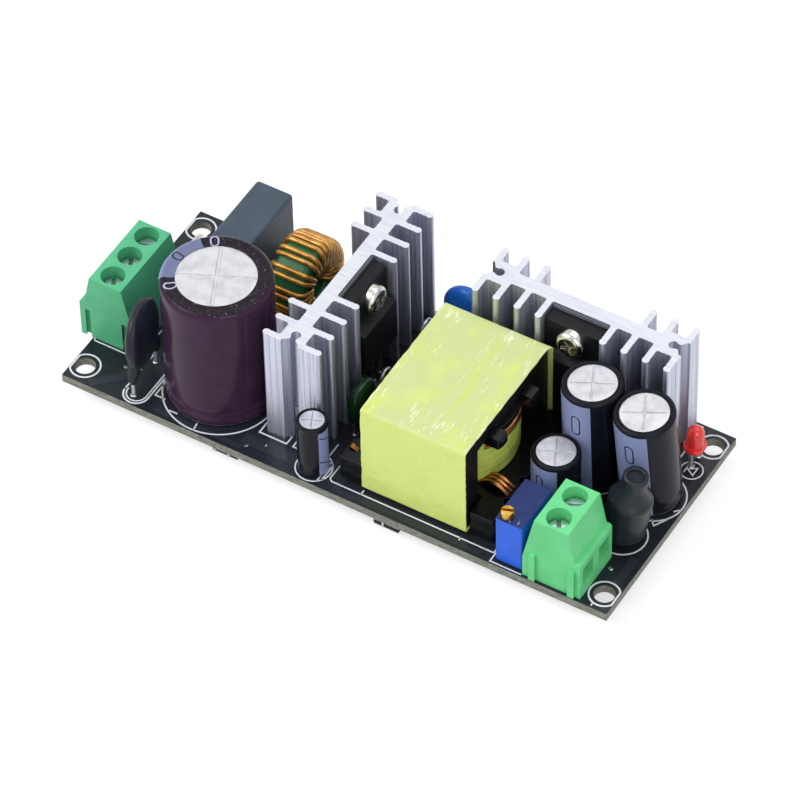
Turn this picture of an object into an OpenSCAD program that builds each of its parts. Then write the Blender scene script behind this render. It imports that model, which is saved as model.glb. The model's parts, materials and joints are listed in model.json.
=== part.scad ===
// Open frame power supply: a long circuit board with a mains terminal at its left end, a low voltage
// terminal at its right end, two finned heatsinks, a taped transformer and the parts around them.
// Millimetres. The origin is the centre of the four mounting holes, on the board's underside, +Z up.
// Inside the modules a place is given from the board's front left corner and its top face.

/* [Board] */
// Thickness of the circuit board
board_t = 1.6; // [1.2:0.1:2.4]
// Diameter of the four mounting holes
mount_hole_d = 3.5; // [3.2:0.1:4]
// Mounting hole centre to the short edge
mount_inset_x = 2.3; // [2.1:0.1:3]
// Mounting hole centre to the long edge
mount_inset_y = 3.5; // [3:0.1:4]
// Back edge of the board to the heatsink beside the mains side
board_back_margin = 0.3; // [0.1:0.1:2]
// Length of the terminal and heatsink pins below the board
pin_stub = 3; // [2.5:0.1:4]
// Length of the trimmed component leads below the board
lead_stub = 2.6; // [1.5:0.1:2.8]
// Diameter of a component lead
lead_d = 0.8; // [0.5:0.1:1]
// Height of the solder cone round a lead
solder_h = 1.1; // [0.6:0.1:1.4]
// Width of the solder cone at the board
solder_d = 2.2; // [1.8:0.1:2.4]

/* [Terminals] */
// Distance between two poles
term_pitch = 5.08; // [5:0.01:5.6]
// Height of a terminal housing
term_h = 14; // [13:0.1:16]
// Width of the flat top of a housing
term_top_w = 6.1; // [5.4:0.1:6.6]
// Screw line to the rear wall
term_rear = 5.15; // [4.9:0.05:6]
// Height at which the rear wall starts to slope
term_rear_h = 4.4; // [4:0.1:7]
// Screw line to the step of the entry side
term_step = 4.3; // [4.2:0.1:4.8]
// Screw line to the entry face
term_front = 5.3; // [5.1:0.1:6]
// Height of the step
term_step_h = 7.9; // [7.8:0.1:9]
// Width of a wire entry
entry_w = 3.2; // [2.8:0.1:3.4]
// Height of a wire entry
entry_h = 3.9; // [3.6:0.1:4.2]
// Bottom of a wire entry above the board
entry_z = 2.4; // [2.3:0.1:2.7]
// How far the dovetail ribs stand out of the end wall
rib_out = 0.5; // [0.3:0.1:0.6]
// Diameter of the screwdriver holes
driver_hole_d = 4.1; // [4.1:0.1:4.4]
// Thread diameter of a terminal screw
term_screw_d = 3; // [2.5:0.1:3.2]
// Head diameter of a terminal screw
term_head_d = 3.9; // [3.5:0.1:3.9]
// Head height of a terminal screw
term_head_h = 1.8; // [1.2:0.1:2]
// Outside width of a wire clamp
clamp_w = 4; // [3.8:0.1:4.1]
// Outside length of a wire clamp
clamp_l = 5; // [4.6:0.1:5.2]
// Outside height of a wire clamp
clamp_h = 5.8; // [5.6:0.1:6]
// Wall of a wire clamp
clamp_wall = 0.8; // [0.6:0.1:0.8]
// How far a wire clamp rises as its screw is tightened
clamp_travel = 2; // [1.5:0.1:2]
// Thickness of the pin's tongue inside a clamp
tongue_t = 0.7; // [0.5:0.1:0.8]
// Diameter of a terminal pin
term_pin_d = 1; // [0.8:0.1:1.2]

/* [Heatsinks] */
// Length of the heatsink profile
hs_len = 36; // [34:0.5:38]
// Height of a heatsink
hs_h = 23.4; // [22:0.2:26]
// Length of the fins on the transistor side
fin_front = 4.3; // [4:0.1:4.6]
// Length of the fins on the other side
fin_back = 3.8; // [3.2:0.1:4.2]
// Thickness of the web
web_t = 2.6; // [2.2:0.1:3]
// Extra thickness on each side of the web at its forked ends
fork_extra = 1.05; // [0.8:0.05:1.2]
// Thickness of a fin
fin_t = 1.2; // [1:0.1:1.3]
// Clear width of the bay for the transistor
bay_w = 10.5; // [10.4:0.1:11]
// Diameter of a heatsink pin
hs_pin_d = 1.6; // [1.2:0.1:1.8]

/* [Transistors] */
// Width of a transistor body
tr_w = 10; // [9.8:0.1:10.2]
// Height of a transistor body
tr_h = 15.8; // [15:0.1:16.2]
// Thickness of the lower body
tr_t = 4.4; // [4.2:0.1:4.7]
// Thickness of the mounting tab
tr_tab_t = 2.6; // [2.2:0.1:2.9]
// Height of the mounting tab
tr_tab_h = 7; // [6.8:0.1:7.4]
// Height of the transistor body above the board
tr_z = 6.7; // [5:0.1:7.2]
// Thickness of the insulating pad
pad_t = 0.3; // [0.2:0.05:0.4]
// Thread diameter of the fixing screw
fix_screw_d = 3; // [2.5:0.1:3.1]

/* [Transformer] */
// Width of the core
core_w = 18.7; // [18:0.1:19.5]
// Thickness of the core's legs behind the winding
core_leg = 1.8; // [1.6:0.1:2.4]
// Height of the core
core_h = 18; // [17:0.1:20]
// Thickness of the core's top and bottom plates
core_plate = 3.2; // [2.8:0.1:3.6]
// Width of the core's side openings
opening_w = 18; // [15.5:0.5:18.5]
// Diameter of the centre post
post_d = 12; // [11:0.1:12.2]
// Outside diameter of the taped coil
coil_d = 21; // [20:0.1:22]
// Thickness of the tape band
tape_t = 0.35; // [0.2:0.05:0.5]
// Width of a pin rail of the bobbin
rail_w = 4.2; // [4:0.1:4.4]

/* [Large parts] */
// Diameter of the mains capacitor
bulk_d = 18.5; // [18:0.1:19]
// Height of the mains capacitor
bulk_h = 25.6; // [24:0.2:28]
// Thickness of the suppression capacitor
xcap_t = 7; // [6:0.1:7.4]
// Depth of the suppression capacitor
xcap_l = 17.8; // [16:0.2:18]
// Height of the suppression capacitor
xcap_h = 14; // [12:0.2:15]
// Outside diameter of the choke core
choke_d = 13.4; // [12:0.1:14]
// Hole diameter of the choke core
choke_hole_d = 6; // [5.6:0.1:6.6]
// Thickness of the choke core
choke_t = 6.4; // [6:0.1:7]
// Thickness of the enamelled wire
choke_wire = 0.8; // [0.6:0.05:0.9]

/* [Small parts] */
// Diameter of the tall output capacitors
tall_d = 10.1; // [9.8:0.1:10.2]
// Height of the tall output capacitors
tall_h = 20; // [18:0.2:22]
// Diameter of the short output capacitor
short_d = 8.1; // [7.8:0.1:8.2]
// Height of the short output capacitor
short_h = 12; // [11:0.2:13]
// Diameter of the supply capacitor
supply_d = 5.2; // [5:0.1:5.3]
// Height of the supply capacitor
supply_h = 11; // [10:0.2:12]
// Thickness of the sleeve on the capacitors
sleeve_t = 0.2; // [0.15:0.05:0.3]
// Diameter of the thermistor disc
thermistor_d = 12; // [11:0.1:12.4]
// Diameter of the disc capacitor
disc_d = 8.8; // [8:0.1:9]
// Length of the trimmer
trim_l = 9.5; // [9:0.1:9.6]
// Width of the trimmer
trim_w = 4.8; // [4.4:0.1:5]
// Height of the trimmer
trim_h = 10; // [9.5:0.1:11]
// Diameter of the trimmer screw
trim_screw_d = 2.2; // [2:0.1:2.4]
// Diameter of the rod inductor
rod_d = 7.4; // [7:0.1:7.6]
// Diameter of the indicator lamp
lamp_d = 3; // [2.8:0.1:3.2]

/* [Hidden] */

$fn = 48;

// Small clearances
slide_gap = 0.1;
thread_gap = 0.05;
part_gap = 0.35;
lead_gap = 0.1;

// Heatsink profile
hs_depth = fin_front + web_t + fin_back;
fin_pitch = (hs_len - fin_t - (bay_w + fin_t)) / 6;
fork_len = fin_pitch + fin_t;
fin_near = [for (i = [0:3]) fin_t / 2 + i * fin_pitch];
fin_far = [for (i = [0:3]) hs_len - fin_t / 2 - i * fin_pitch];
channel_mid = fin_front + web_t / 2;
channel_in = 2.2;
channel_mouth = 3;
channel_neck = 1.1;

// Terminal housings
ac_poles = 3;
dc_poles = 2;
ac_len = ac_poles * term_pitch;
dc_len = dc_poles * term_pitch;
clamp_z = entry_z - slide_gap - clamp_wall;
tongue_z = clamp_z + clamp_h - 1.5 - slide_gap - tongue_t;
ledge_z = clamp_z + clamp_h + clamp_travel + slide_gap;
ledge_t = 0.6;
head_z = ledge_z + ledge_t + thread_gap;
pin_back = clamp_l / 2 + slide_gap + tongue_t / 2;
tongue_w = clamp_w - 2 * clamp_wall - 2 * slide_gap;
slot_angles = [62, 30, 8];

// Transformer core, made round its coil
coil_room = 0.8;
window_d = coil_d + 2 * coil_room;
core_d = window_d + 2 * core_leg;

// Rows along the board, from the left edge
ac_x = term_top_w / 2;
ac_rear_x = ac_x + term_rear;
thermistor_t = 3.4;
thermistor_x = ac_rear_x + part_gap + thermistor_t / 2 + 1.9;
xcap_x = ac_rear_x + 3.8;
bulk_x = ac_rear_x + 6.55 + bulk_d / 2;
choke_over = choke_t + 2 * choke_wire;
choke_x = xcap_x + xcap_t + 3.8 + choke_over / 2;
hs1_x = max(bulk_x + bulk_d / 2 + 2, choke_x + choke_over / 2 + 2);
middle_x = hs1_x + hs_depth;
rail_x0 = middle_x + 4.7;
rail_gap = tape_t + 0.2;
core_x = rail_x0 + rail_w + rail_gap;
core_mid_x = core_x + core_w / 2;
rail_x1 = core_x + core_w + rail_gap;
trim_x = rail_x1 + rail_w + 2.05;
dc_x = trim_x + trim_w + part_gap + term_rear;
board_l = dc_x + term_front + 5.1;

// Rows across the board, from the front edge
hs1_front_room = supply_d + 1;
stack_front_room = 1.1 + trim_l + 1.8;
board_w = max(hs1_front_room + hs_len + board_back_margin,
    stack_front_room + short_d + tall_d + hs_depth + 1.2);
hs1_y = board_w - board_back_margin - hs_len;
hs2_y = board_w - 1.1 - hs_depth;
hs2_x = board_l - 6.4 - hs_len;
ac_y = 9.5;
dc_y = 0.6;
trim_y = 1.1;
bulk_y = bulk_d / 2 + 1.75;
xcap_y = board_w - 0.5 - xcap_l;
choke_over_d = choke_d + 2 * choke_wire;
choke_y = board_w - 2.8 - choke_over_d / 2;
tr_front_y = hs2_y + fin_front - pad_t - tr_t;
core_y = min(hs2_y, tr_front_y) - part_gap - tape_t - core_d;
core_mid_y = core_y + core_d / 2;

// Places of the upright parts
tall_2_x = board_l - 6;
tall_1_x = tall_2_x - tall_d - 0.25;
tall_y = hs2_y - 0.3 - tall_d / 2;
short_x = tall_1_x - 2;
short_y = tall_y - (tall_d + short_d) / 2 - 0.05;
supply_x = middle_x;
supply_y = hs1_y - 0.2 - supply_d / 2;
rod_x = board_l - 5.8;
rod_y = tall_y - tall_d / 2 - rod_d / 2 - 1.1;
lamp_x = board_l - 3.5;
lamp_y = board_w - 7.5;
disc_x = hs2_x - 0.5 - disc_d / 2;
disc_y = board_w - 4.2;
film_t = 2.6;
film_l = 6.4;
film_h = 8.2;
film_x = max(middle_x, middle_x - fin_front + pad_t + tr_t) + 0.25 + film_t / 2;
film_y = hs1_y + film_l / 2 + 6;
thermistor_y = thermistor_d / 2 + 0.2;
thermistor_z = thermistor_d / 2 + 4.7;
thermistor_out = 0.4;
thermistor_foot = thermistor_z - 3;
disc_z = disc_d / 2 + 4.9;
disc_foot = disc_z - 2.7;
fuse_d = 3.5;
fuse_l = 8.4;
fuse_x = ac_x + 2.4;
fuse_y = ac_y + ac_len + rib_out + 1.5;
fuse_cap_l = 1.8;
fuse_z = fuse_d / 2 + 0.4;
diode_x = middle_x + 3.4;
diode_y = board_w - 8;
resistor_d = 2.4;
resistor_x = middle_x + 2.6;
resistor_y = film_y + film_l / 2 + part_gap + resistor_d / 2 + 0.2;

// Leans of the soldered parts, in degrees about X and Y
tall_2_lean = [4.2, -2.4, 0];
tall_1_lean = [0.5, -1.6, 0];
rod_lean = [-2, 8, 0];
thermistor_lean = [0, -4, 13];

// Spacing of the leads
loop_r = 1.3;
bend_r = 1;
xcap_pitch = 15;
thermistor_pitch = 8;
film_pitch = 5;
disc_pitch = 5;
choke_pitch = 8.8;
rod_pitch = 3.2;
bulk_pitch = 7.5;
tall_pitch = 5;
short_pitch = 3.5;
supply_pitch = 2;
lamp_pitch = 2.54;
tr_pitch = 2.54;

// Depth of a transistor's leads in front of the web
tr_lead_out = pad_t + 2.4;
tr_q1_x = hs1_x + hs_depth - fin_front;
tr_q1_y = hs1_y + hs_len / 2;
tr_q2_x = hs2_x + hs_len / 2;
tr_q2_y = hs2_y + fin_front;
tr_slope = 0.9;
fix_head_d = 2 * fix_screw_d - 1;
tr_hole_z = tr_z + tr_h - tr_tab_h + tr_slope + fix_head_d / 2 + 0.85;

// Lift of the leaning cans, which clears their low edge
tall_z = 0.5;
rod_z = 0.9;
lamp_z = 3.2;
trim_z = 0.4;
body_z = 0.3;

// One entry for each lead: its place, and the height above the board at which it ends
lead_points = concat(
    [for (s = [-1, 1]) [bulk_x, bulk_y + s * bulk_pitch / 2, body_z]],
    [for (s = [-1, 1]) [supply_x + s * supply_pitch / 2, supply_y, body_z]],
    [for (s = [-1, 1]) [short_x, short_y + s * short_pitch / 2, body_z]],
    [for (s = [-1, 1]) [tall_1_x, tall_y + s * tall_pitch / 2, 1.6]],
    [for (s = [-1, 1]) [tall_2_x, tall_y + s * tall_pitch / 2, 1.6]],
    [for (s = [-1, 1]) [xcap_x + xcap_t / 2, xcap_y + xcap_l / 2 + s * xcap_pitch / 2, body_z]],
    [for (s = [-1, 1]) [thermistor_x - s * thermistor_out, thermistor_y + s * thermistor_pitch / 2, thermistor_foot]],
    [for (s = [-1, 1]) [film_x, film_y + s * film_pitch / 2, 2.4]],
    [for (s = [-1, 1]) [disc_x + s * disc_pitch / 2, disc_y, disc_foot]],
    [for (s = [-1, 1]) [lamp_x, lamp_y + s * lamp_pitch / 2, lamp_z]],
    [for (s = [-1, 1]) [rod_x, rod_y + s * rod_pitch / 2, 2.2]],
    [for (s = [-1, 0, 1]) [tr_q1_x + tr_lead_out, tr_q1_y + s * tr_pitch, tr_z]],
    [for (s = [-1, 0, 1]) [tr_q2_x + s * tr_pitch, tr_q2_y - tr_lead_out, tr_z]],
    [for (s = [-1, 0, 1]) [trim_x + trim_w / 2, trim_y + trim_l / 2 + s * tr_pitch, trim_z]],
    [for (s = [-1, 1]) [choke_x, choke_y + s * choke_pitch / 2, choke_foot(choke_pitch / 2)]]
);
pin_points = concat(
    [for (y = [hs1_y + channel_in, hs1_y + hs_len - channel_in]) [hs1_x + hs_depth - channel_mid, y]],
    [for (x = [hs2_x + channel_in, hs2_x + hs_len - channel_in]) [x, hs2_y + channel_mid]]
);
rail_pins = [for (x = [rail_x0 + rail_w / 2, rail_x1 + rail_w / 2]) for (i = [-2:2])
    [x, core_mid_y + i * 5.08]];
axial_points = concat(
    [for (s = [-1, 1]) [fuse_x, fuse_y + fuse_l / 2 + s * (fuse_l / 2 + bend_r)]],
    [for (s = [0, 1]) [diode_x, diode_y - s * 2 * loop_r]],
    [for (s = [0, 1]) [resistor_x, resistor_y + s * 2 * loop_r]]
);

// Height at which the choke's winding is met above the board, at a distance from its middle
function choke_foot(out) = choke_z() - sqrt(pow(choke_over_d / 2, 2) - out * out) + 0.25;
function choke_z() = choke_over_d / 2 + 0.4;

// Places children from the board's front left corner and top face
module at(x, y, z = 0) {
    translate([x - board_l / 2, y - board_w / 2, z + board_t]) children();
}

// A rectangle with round corners, its lower left corner at the origin
module round_rect(w, h, r) {
    translate([r, 0]) square([w - 2 * r, h]);
    translate([0, r]) square([w, h - 2 * r]);
    for (x = [r, w - r]) for (y = [r, h - r]) translate([x, y]) circle(r);
}

// A box with four round upright edges
module round_box(size, r) {
    linear_extrude(size.z) round_rect(size.x, size.y, r);
}

// A box with round edges along Y
module round_box_y(size, r) {
    translate([0, size.y, 0]) rotate([90, 0, 0]) linear_extrude(size.y) round_rect(size.x, size.z, r);
}

// Board

module circuit_board() {
    color("#19231f")
    difference() {
        at(0, 0, -board_t) cube([board_l, board_w, board_t]);
        for (x = [mount_inset_x, board_l - mount_inset_x])
            for (y = [mount_inset_y, board_w - mount_inset_y])
                drill(x, y, mount_hole_d);
        for (p = lead_points) drill(p.x, p.y, lead_d + 2 * lead_gap);
        for (p = axial_points) drill(p.x, p.y, lead_d + 2 * lead_gap);
        for (p = rail_pins) drill(p.x, p.y, lead_d + 2 * lead_gap);
        for (p = pin_points) drill(p.x, p.y, hs_pin_d + 2 * lead_gap);
        for (i = [0:ac_poles - 1])
            drill(ac_x + pin_back, ac_y + (i + 0.5) * term_pitch, term_pin_d + 2 * lead_gap);
        for (i = [0:dc_poles - 1])
            drill(dc_x - pin_back, dc_y + (i + 0.5) * term_pitch, term_pin_d + 2 * lead_gap);
    }
}

module drill(x, y, d) {
    at(x, y, -board_t - 1) cylinder(h = board_t + 2, d = d);
}

// A straight lead through the board with its solder cone, up to a height above the board
module lead(top, d = lead_d, stub = lead_stub, cone = solder_d) {
    translate([0, 0, -board_t - stub]) cylinder(h = board_t + stub + top, d = d);
    translate([0, 0, -board_t - solder_h]) cylinder(h = solder_h, d1 = d + 0.2, d2 = cone);
}

// Terminals. The screw line is at x = 0 and the wire entries face +X.

module term_outline() {
    bevel = 0.35;
    polygon([
        [-term_rear, 0], [term_front, 0], [term_front, term_step_h - bevel],
        [term_front - bevel, term_step_h], [term_step, term_step_h],
        [term_top_w / 2, term_h], [-term_top_w / 2, term_h], [-term_rear, term_rear_h]
    ]);
}

module term_housing(poles) {
    length = poles * term_pitch;
    difference() {
        union() {
            translate([0, length, 0]) rotate([90, 0, 0]) linear_extrude(length) term_outline();
            term_ribs(term_rear_h + 1.6);
        }
        translate([0, length, 0]) term_ribs(term_rear_h + 1.8, slide_gap);
        for (i = [0:poles - 1]) translate([0, (i + 0.5) * term_pitch, 0]) term_cavity();
    }
}

// The two dovetail ribs on the front end wall, or with room added, the grooves of the other end
module term_ribs(top, room = 0) {
    for (x = [-term_rear + 1.9, term_front - 1.5])
        translate([x, 0, 0])
            linear_extrude(top)
                polygon([
                    [-0.35 - room, 0.05], [0.35 + room, 0.05],
                    [0.6 + room, -rib_out - room], [-0.6 - room, -rib_out - room]
                ]);
}

module term_cavity() {
    cage_w = clamp_w + 2 * slide_gap;
    cage_l = clamp_l + 2 * slide_gap;
    translate([0, 0, ledge_z + ledge_t]) cylinder(h = term_h, d = driver_hole_d);
    translate([0, 0, ledge_z - 1]) cylinder(h = term_h, d = term_screw_d + 2 * thread_gap);
    translate([-cage_l / 2, -cage_w / 2, clamp_z - slide_gap])
        cube([cage_l, cage_w, ledge_z - clamp_z + slide_gap]);
    translate([0, -entry_w / 2, entry_z]) cube([term_front + 1, entry_w, entry_h]);
    translate([-cage_l / 2 - tongue_t - thread_gap, -tongue_w / 2 - thread_gap, -1])
        cube([tongue_t + 1, tongue_w + 2 * thread_gap, tongue_z + tongue_t + 1 + thread_gap]);
}

module term_screw(angle) {
    slot_w = 0.7;
    slot_deep = 0.9;
    difference() {
        union() {
            translate([0, 0, tongue_z + tongue_t + thread_gap])
                cylinder(h = head_z - tongue_z - tongue_t, d = term_screw_d);
            translate([0, 0, head_z]) rotate_extrude() head_profile(term_head_d, term_head_h, 0.5);
        }
        rotate([0, 0, angle])
            translate([-term_head_d, -slot_w / 2, head_z + term_head_h - slot_deep])
                cube([2 * term_head_d, slot_w, term_head_h]);
    }
}

// Half section of a screw head with a rounded edge
module head_profile(d, h, r) {
    square([d / 2 - r, h]);
    square([d / 2, h - r]);
    translate([d / 2 - r, h - r]) circle(r, $fn = 32);
}

module wire_clamp() {
    top_t = 1.5;
    difference() {
        translate([-clamp_l / 2, -clamp_w / 2, clamp_z]) cube([clamp_l, clamp_w, clamp_h]);
        translate([-clamp_l, -clamp_w / 2 + clamp_wall, clamp_z + clamp_wall])
            cube([2 * clamp_l, clamp_w - 2 * clamp_wall, clamp_h - clamp_wall - top_t]);
        translate([0, 0, clamp_z]) cylinder(h = clamp_h + 1, d = term_screw_d + 2 * thread_gap);
    }
}

// The tongue that a wire is clamped against, its strip down the rear of the cage and its pin
module term_pin() {
    strip_x = -clamp_l / 2 - slide_gap - tongue_t;
    translate([strip_x, -tongue_w / 2, tongue_z]) cube([clamp_l / 2 - 0.4 - strip_x, tongue_w, tongue_t]);
    translate([strip_x, -tongue_w / 2, 0]) cube([tongue_t, tongue_w, tongue_z + tongue_t]);
    translate([-pin_back, 0, 0]) lead(0, term_pin_d, pin_stub, solder_d + 0.4);
}

module at_ac(pole) {
    at(ac_x, ac_y + (pole + 0.5) * term_pitch) rotate([0, 0, 180]) children();
}

module at_dc(pole) {
    at(dc_x, dc_y + (pole + 0.5) * term_pitch) children();
}

module ac_terminal_housing() {
    color("#3aa463") at(ac_x, ac_y + ac_len) rotate([0, 0, 180]) term_housing(ac_poles);
}

module dc_terminal_housing() {
    color("#5fcf86") at(dc_x, dc_y) term_housing(dc_poles);
}

module ac_terminal_pins() {
    color("silver") for (i = [0:ac_poles - 1]) at_ac(i) term_pin();
}

module dc_terminal_pins() {
    color("silver") for (i = [0:dc_poles - 1]) at_dc(i) term_pin();
}

module ac_terminal_screw_1() { color("lightsteelblue") at_ac(0) term_screw(slot_angles[0]); }
module ac_terminal_screw_2() { color("lightsteelblue") at_ac(1) term_screw(slot_angles[1]); }
module ac_terminal_screw_3() { color("lightsteelblue") at_ac(2) term_screw(slot_angles[2]); }
module dc_terminal_screw_1() { color("lightsteelblue") at_dc(0) term_screw(slot_angles[0]); }
module dc_terminal_screw_2() { color("lightsteelblue") at_dc(1) term_screw(slot_angles[2]); }
module ac_wire_clamp_1() { color("goldenrod") at_ac(0) wire_clamp(); }
module ac_wire_clamp_2() { color("goldenrod") at_ac(1) wire_clamp(); }
module ac_wire_clamp_3() { color("goldenrod") at_ac(2) wire_clamp(); }
module dc_wire_clamp_1() { color("goldenrod") at_dc(0) wire_clamp(); }
module dc_wire_clamp_2() { color("goldenrod") at_dc(1) wire_clamp(); }

// Heatsinks. The profile runs along X, with the transistor bay on its -Y side.

module hs_profile() {
    difference() {
        union() {
            translate([0, fin_front]) square([hs_len, web_t]);
            for (u = [0, hs_len - fork_len])
                translate([u, fin_front - fork_extra]) square([fork_len, web_t + 2 * fork_extra]);
            for (u = concat(fin_near, fin_far)) translate([u, fin_front + 0.1]) mirror([0, 1]) fin(fin_front + 0.1);
            for (i = [0:2]) for (u = [fin_near[i], fin_far[i]])
                translate([u, fin_front + web_t - 0.1]) fin(fin_back + 0.1);
        }
        pin_channel();
        translate([hs_len, 0]) mirror([1, 0]) pin_channel();
    }
}

// A fin with a round tip, standing on the X axis
module fin(length) {
    translate([-fin_t / 2, 0]) square([fin_t, length - fin_t / 2]);
    translate([0, length - fin_t / 2]) circle(d = fin_t);
}

// The open channel of a forked end, which holds a pressed pin
module pin_channel() {
    translate([channel_in, channel_mid]) circle(d = hs_pin_d);
    translate([-1, channel_mid - channel_neck / 2]) square([channel_in + 1, channel_neck]);
    translate([0, channel_mid])
        polygon([
            [-1, -channel_mouth / 2], [0.45, -channel_mouth / 2], [1.1, -channel_neck / 2],
            [1.1, channel_neck / 2], [0.45, channel_mouth / 2], [-1, channel_mouth / 2]
        ]);
}

module heatsink_body() {
    difference() {
        linear_extrude(hs_h) hs_profile();
        translate([hs_len / 2, fin_front - 1, tr_hole_z]) rotate([-90, 0, 0])
            cylinder(h = web_t + 2, d = fix_screw_d + 2 * thread_gap);
    }
}

module at_hs1() {
    at(hs1_x + hs_depth, hs1_y) rotate([0, 0, 90]) children();
}

module at_hs2() {
    at(hs2_x, hs2_y) children();
}

module primary_heatsink() { color("silver") at_hs1() heatsink_body(); }
module output_heatsink() { color("silver") at_hs2() heatsink_body(); }

module heatsink_pins() {
    pin_up = 7;
    color("gray") for (p = pin_points) at(p.x, p.y) lead(pin_up, hs_pin_d, pin_stub, solder_d + 0.8);
}

// Transistors, drawn in the heatsink's own frame, the body against the pad

module transistor() {
    step_z = tr_h - tr_tab_h;
    edge = 0.5;
    translate([hs_len / 2, fin_front - pad_t, tr_z])
    difference() {
        translate([tr_w / 2, 0, 0]) rotate([90, 0, -90]) linear_extrude(tr_w)
            polygon([
                [0, 0], [tr_t - edge, 0], [tr_t, edge], [tr_t, step_z], [tr_tab_t, step_z + tr_slope],
                [tr_tab_t, tr_h - 0.3], [tr_tab_t - 0.3, tr_h], [0, tr_h]
            ]);
        translate([0, 1, tr_hole_z - tr_z]) rotate([90, 0, 0])
            cylinder(h = tr_t + 2, d = fix_screw_d + 0.4);
        for (s = [-1, 1]) translate([s * tr_w / 2, -tr_t - 1, step_z + 2.2])
            cylinder(h = 2.4, d = 1.2);
    }
}

module switch_transistor() { color("#202224") at_hs1() transistor(); }
module output_rectifier() { color("#202224") at_hs2() transistor(); }

module insulating_pad() {
    side = 0.1;
    difference() {
        translate([hs_len / 2 - bay_w / 2 + side, fin_front - pad_t, tr_z - 1])
            cube([bay_w - 2 * side, pad_t, tr_h + 1.6]);
        translate([hs_len / 2, fin_front - pad_t - 1, tr_hole_z]) rotate([-90, 0, 0])
            cylinder(h = pad_t + 2, d = fix_screw_d + 0.4);
    }
}

module insulating_pads() {
    color("#8f9597") {
        at_hs1() insulating_pad();
        at_hs2() insulating_pad();
    }
}

module fixing_screw() {
    head_h = 1.8;
    grip = tr_tab_t + pad_t;
    translate([hs_len / 2, fin_front - grip, tr_hole_z]) rotate([90, 0, 0])
    difference() {
        union() {
            translate([0, 0, -grip - web_t + 0.3]) cylinder(h = grip + web_t - 0.3, d = fix_screw_d);
            rotate_extrude() head_profile(fix_head_d, head_h, 0.9);
        }
        for (a = [20, 110]) rotate([0, 0, a]) translate([-1.5, -0.3, head_h - 1.1]) cube([3, 0.6, 2]);
    }
}

module fixing_screws() {
    color("silver") {
        at_hs1() fixing_screw();
        at_hs2() fixing_screw();
    }
}

// Transformer, drawn round the core's vertical axis

core_z = tape_t + 0.5;
window_z = core_z + core_plate;
window_h = core_h - 2 * core_plate;
flange_t = 1;
opening_in = sqrt(pow(window_d / 2, 2) - pow(opening_w / 2, 2)) - 0.8;

module at_core() {
    at(core_mid_x, core_mid_y) children();
}

module transformer_core() {
    color("#2b2c2e") at_core() {
        difference() {
            translate([-core_w / 2, -core_d / 2, core_z]) cube([core_w, core_d, core_h]);
            translate([0, 0, window_z]) cylinder(h = window_h, d = window_d);
            for (s = [-1, 1]) translate([s * (opening_in + core_w / 2) - core_w / 2, -opening_w / 2, window_z])
                cube([core_w, opening_w, window_h]);
        }
        translate([0, 0, core_z]) cylinder(h = core_h, d = post_d);
    }
}

module transformer_tape() {
    out_d = core_d + 2 * tape_t;
    out_h = core_h + 2 * tape_t;
    wide = core_w + 0.6;
    color("#dbe67e") at_core()
        translate([-wide / 2, -out_d / 2, core_z - tape_t])
            rotate([90, 0, 90]) linear_extrude(wide)
                difference() {
                    round_rect(out_d, out_h, 0.4);
                    translate([tape_t, tape_t]) square([core_d, core_h]);
                }
}

module transformer_bobbin() {
    bore = post_d + 0.3;
    neck_w = opening_w - 0.5;
    block = 2.6;
    block_y = opening_w / 2 - 3.8;
    rail_in = rail_x1 - core_mid_x;
    flange_d = window_d - 0.4;
    plate_w = core_w + 0.9;
    low = window_z;
    high = window_z + window_h - flange_t;
    color("#1b1c1d") at_core()
    difference() {
        union() {
            translate([0, 0, low]) cylinder(h = window_h, d = bore + 1.2);
            translate([0, 0, low]) cylinder(h = flange_t, d = flange_d);
            translate([-rail_in - 0.5, -neck_w / 2, low]) cube([2 * rail_in + 1, neck_w, flange_t]);
            translate([0, 0, high]) cylinder(h = flange_t, d = coil_d);
            translate([-plate_w / 2, -block_y - block / 2, high])
                cube([plate_w, 2 * block_y + block, flange_t]);
            for (s = [-1, 1]) bobbin_rail(s, rail_in, low + flange_t);
            for (s = [-1, 1]) translate([core_w / 2 + 0.15, s * block_y - block / 2, high])
                cube([block, block, flange_t + 1.2]);
        }
        translate([0, 0, low - 1]) cylinder(h = window_h + 2, d = bore);
    }
}

// A pin rail with notches for the wires between its pins
module bobbin_rail(side, inner, top) {
    rail_l = core_d - 0.8;
    notch = 1.6;
    difference() {
        translate([side > 0 ? inner : -inner - rail_w, -rail_l / 2, body_z])
            cube([rail_w, rail_l, top - body_z]);
        for (i = [-1.5:1:1.5]) translate([side * (inner + rail_w), i * 5.08, body_z + 1])
            cylinder(h = top, d = notch);
    }
}

module transformer_coil() {
    color("#d9e36c") at_core() translate([0, 0, window_z + flange_t])
        difference() {
            cylinder(h = window_h - 2 * flange_t, d = coil_d);
            translate([0, 0, -1]) cylinder(h = window_h, d = post_d + 0.3 + 1.2);
        }
}

// Three strands from the coil's foot, out over the rail
module transformer_wires() {
    strand = 0.8;
    inside = coil_d / 2 - 2.5;
    reach = rail_x1 + rail_w - 0.7 - core_mid_x - inside;
    foot = window_z + flange_t;
    rise = reach * 0.3;
    bend_r = (reach * reach / 4 + rise * rise) / (2 * rise);
    sweep = asin(reach / 2 / bend_r) + 6;
    color("#b87333") at_core()
        difference() {
            for (i = [-1:1])
                translate([inside + reach / 2, -5.6 + i * (strand + 0.05), foot + rise - bend_r])
                    rotate([90, 0, 0]) rotate([0, 0, 90 - sweep]) rotate_extrude(angle = 2 * sweep)
                        translate([bend_r, 0]) circle(d = strand, $fn = 24);
            translate([0, 0, foot - 1]) cylinder(h = window_h, d = coil_d);
            translate([0, -core_d / 2, foot - 2]) cube([core_w, core_d, 2]);
        }
}

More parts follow.
